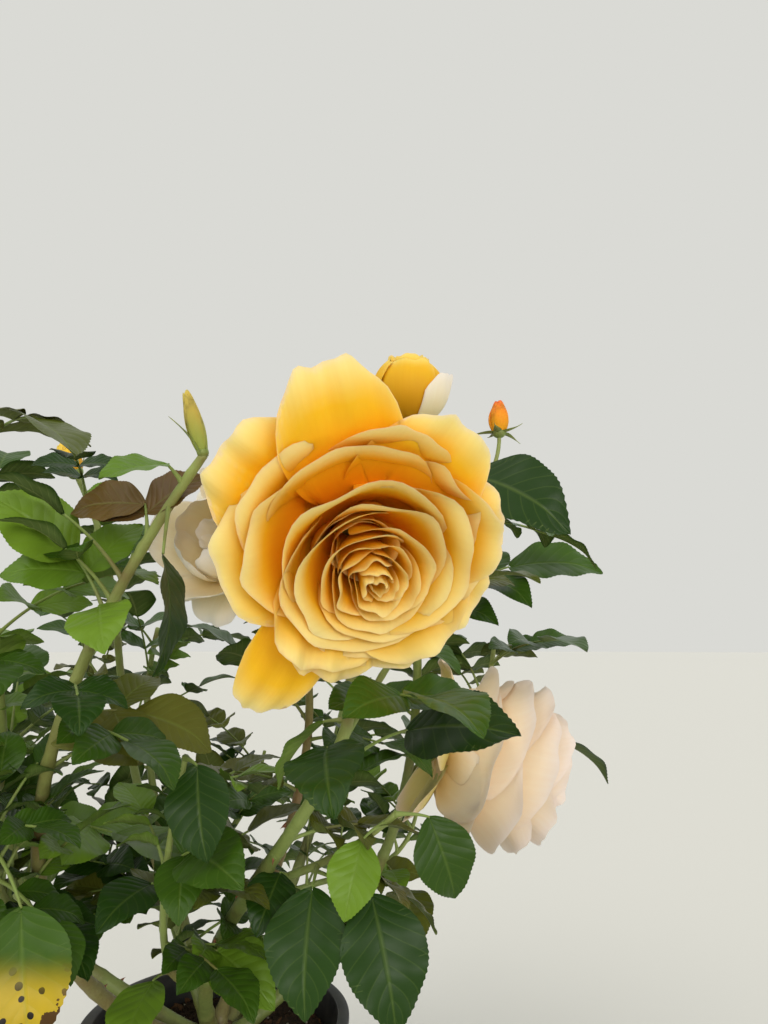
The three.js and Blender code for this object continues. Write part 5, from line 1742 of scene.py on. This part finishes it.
def hooked_prickle():
    """A flattened, hooked cone one unit high, with its hook towards +X."""
    made = bmesh.new()
    rings = []
    for k in range(PRICKLE_RINGS):
        s = k / (PRICKLE_RINGS - 1)
        width, depth = 0.5 * (1 - s) ** 1.3 + 0.02, 0.2 * (1 - s) ** 1.1 + 0.015
        middle = (0.55 * s ** 2 - 0.1, s - 0.12)
        rings.append([made.verts.new((middle[0] + width * math.cos(a), depth * math.sin(a), middle[1]))
                      for a in np.linspace(0, 2 * math.pi, PRICKLE_SIDES, endpoint=False)])
    for low, high in zip(rings, rings[1:]):
        for a in range(PRICKLE_SIDES):
            b = (a + 1) % PRICKLE_SIDES
            made.faces.new((low[a], low[b], high[b], high[a]))
    made.faces.new(rings[0][::-1])
    made.faces.new(rings[-1])
    mesh = mesh_from("prickle", made)
    mesh.shade_smooth()
    return placed("prickle", mesh)


def prickle_material():
    """Young prickle: hard, glossy and reddish brown, in paler patches."""
    material, tree, skin = start_material("horny_rose_prickle", {"Roughness": 0.38, "IOR": 1.5})
    place = add(tree, COORDINATES).outputs["Object"]
    patch = add(tree, NOISE, {"Vector": place, "Scale": scale_for(6.25), "Detail": 2.0})
    shade = add(tree, "ShaderNodeValToRGB", {"Fac": patch})
    paint_stops(shade, (0.35, "#7a3d26"), (0.7, "#a8743f"))
    wire(tree, skin, {"Base Color": shade})
    return material


print("corners of one prickle:", PRICKLE_RINGS * PRICKLE_SIDES)


# %% Strew the prickles
def prickle_tree(material):
    """Geometry Nodes: prickles square on the bark, hooks down, at least a set distance apart."""
    tree, sockets, given = new_tree("strew_prickles", {"Thing": "Object", "Apart": "Float", **SIZES})
    spots = add(tree, "GeometryNodeDistributePointsOnFaces", {
        "Mesh": given["Geometry"], "Distance Min": given["Apart"], "Density Max": given["Density"],
        "Seed": given["Seed"]}, distribute_method="POISSON")
    hooked = add(tree, "FunctionNodeAlignRotationToVector", {
        "Rotation": spots.outputs["Rotation"], "Vector": (0.0, 0.0, -1.0)}, axis="X", pivot_axis="Z")
    deal_out(tree, given, spots, hooked, material)
    return tree, sockets


bark = bmesh.new()
for piece, _ in CANE_PIECES:
    bark.from_mesh(piece.data)
prickles = grown(placed("cane_prickles", mesh_from("cane_prickles", bark)),
                 *prickle_tree(prickle_material()), hooked_prickle(),
                 dict(Apart=14 * MM, Density=1500.0, Seed=6, Smallest=2.2 * MM, Largest=4.2 * MM))
print("prickle faces:", face_count([prickles]))

# %% [markdown]
# ## The root collar
#
# Where the canes meet, an old rose has a knobbly collar of corky wood that flares into the compost.
# It is turned as a dome and then roughened in the mesh itself, so its relief holds from every side.

# %% Shape the collar
foot = GROUND + GAP
dome = [(COLLAR_RADIUS * math.cos(a), GROUND + COLLAR_RADIUS * math.sin(a))
        for a in np.radians(np.arange(12, 88, 3.0))]
collar = turn_profile("collar_wood", [
    (1.0, foot), (18.0, foot), (18.4, foot + 0.3), (16.4, GROUND + 1.8),
    *dome, (0.3, GROUND + COLLAR_RADIUS)], sides=96)
place = points_of(collar)
x, y, z = place.T
knob = (0.5 * np.sin(0.55 * x + 1.0) * np.sin(0.6 * y) + 0.35 * np.sin(1.1 * z + 0.7 * x)
        + 0.25 * np.sin(2.3 * x - 1.9 * y))
lift = np.where(z > GROUND + 1.5, knob * 0.9 - 0.5, 0)
place += unit(place - GROUND * UP) * lift[:, None]
move_points(collar, place)
collar.data.materials.append(crumbly_material("corky_rose_collar", "#3c2c1e", "#8a7350", 6.25))
print("collar faces:", face_count([collar]))

# %% [markdown]
# ## Joining the pieces to the frame
#
# Every piece moves with the frame's one body, and the solid of the frame that it stands for is hidden.

# %% Ride and replace
def settle(piece, slot, *nodes):
    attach(piece, "root")
    if nodes:
        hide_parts(*nodes)


PETAL_SLOTS = {"bloom_main": "petals_apricot", "bloom_cream": "petals_cream",
               "bloom_yellow": "petals_apricot", "bloom_faded": "petals_faded"}
for piece, node in CANE_PIECES:
    settle(piece, "stem", node)
for piece, node in TWIG_PIECES + LEAF_PIECES:
    settle(piece, "foliage", node)
for piece, node in PETAL_PIECES:
    settle(piece, PETAL_SLOTS[node], node)
for piece, node in CALYX_PIECES:
    settle(piece, "stem", node)
for node, piece in BUD_PIECES.items():
    settle(piece, "petals_apricot", node)
for node, piece in BUD_GREENS.items():
    settle(piece, "foliage", node)
settle(pot, "pot", "pot")
settle(bed, "compost", "compost")
for piece in CRUMBS:
    settle(piece, "compost", "compost")
settle(collar, "stem", "root_collar")
settle(prickles, "stem")

# %% [markdown]
# ## Floor, light and camera
#
# The bush stands on a plain pale floor under soft light, as on an overcast day: a broad bright sky,
# a soft source from the upper left that shapes the petals, a stronger low one from the front that
# reaches under the leaves, and a faint one behind that lifts the leaf edges off the background.

# %% Floor
FLOOR_RADIUS, FLOOR_DROP = 30.0, 0.5 * MM     # metres; the floor lies just under the pot's foot
bpy.ops.mesh.primitive_circle_add(vertices=96, radius=FLOOR_RADIUS, fill_type="NGON",
                                  location=(0, 0, -FLOOR_DROP))
floor = bpy.context.object
floor.name = "floor"
floor.data.materials.append(start_material("pale_plaster_floor", {
    "Roughness": 0.9, "Base Color": linear("#dcdbd5")})[0])
print("floor radius:", FLOOR_RADIUS, "m")


# %% Light
# Bearing, height, power, spread in degrees and colour of each soft source.
LIGHTS = {
    "sky_window": (-128, 46, 0.8, 40, "#fffcf6"),
    "front_fill": (-74, 3, 2.1, 40, "#fffcf8"),
    "back_light": (60, 40, 0.3, 60, "#f4f8ff"),
}

world = bpy.data.worlds.new("overcast")
world.use_nodes = True
wire(world.node_tree, world.node_tree.nodes["Background"], {"Color": linear("#dadad5"), "Strength": 1.0})
bpy.context.scene.world = world
for name, (bearing, height, power, spread, colour) in LIGHTS.items():
    # A sun of a wide angle is a large soft source far away: it is as strong all over the floor.
    lamp = bpy.data.lights.new(name, "SUN")
    lamp.energy, lamp.angle, lamp.color = power, math.radians(spread), linear(colour)[:3]
    placed(name, lamp).rotation_euler = (math.radians(90 - height), 0, math.radians(bearing + 90))
bpy.context.scene.view_settings.view_transform = "Standard"
print("soft sources:", list(LIGHTS))

# %% Camera
lens = bpy.data.cameras.new("front")
lens.lens, lens.sensor_width, lens.clip_start = 26.0, 36.0, 0.01
camera = placed("front", lens)
camera.location = (0.0986, -0.4822, 0.3528)
camera.rotation_euler = (math.radians(100), 0, 0)
bpy.context.scene.camera = camera
print("camera stands", round(abs(camera.location.y) * 100), "cm in front of the pot's middle")
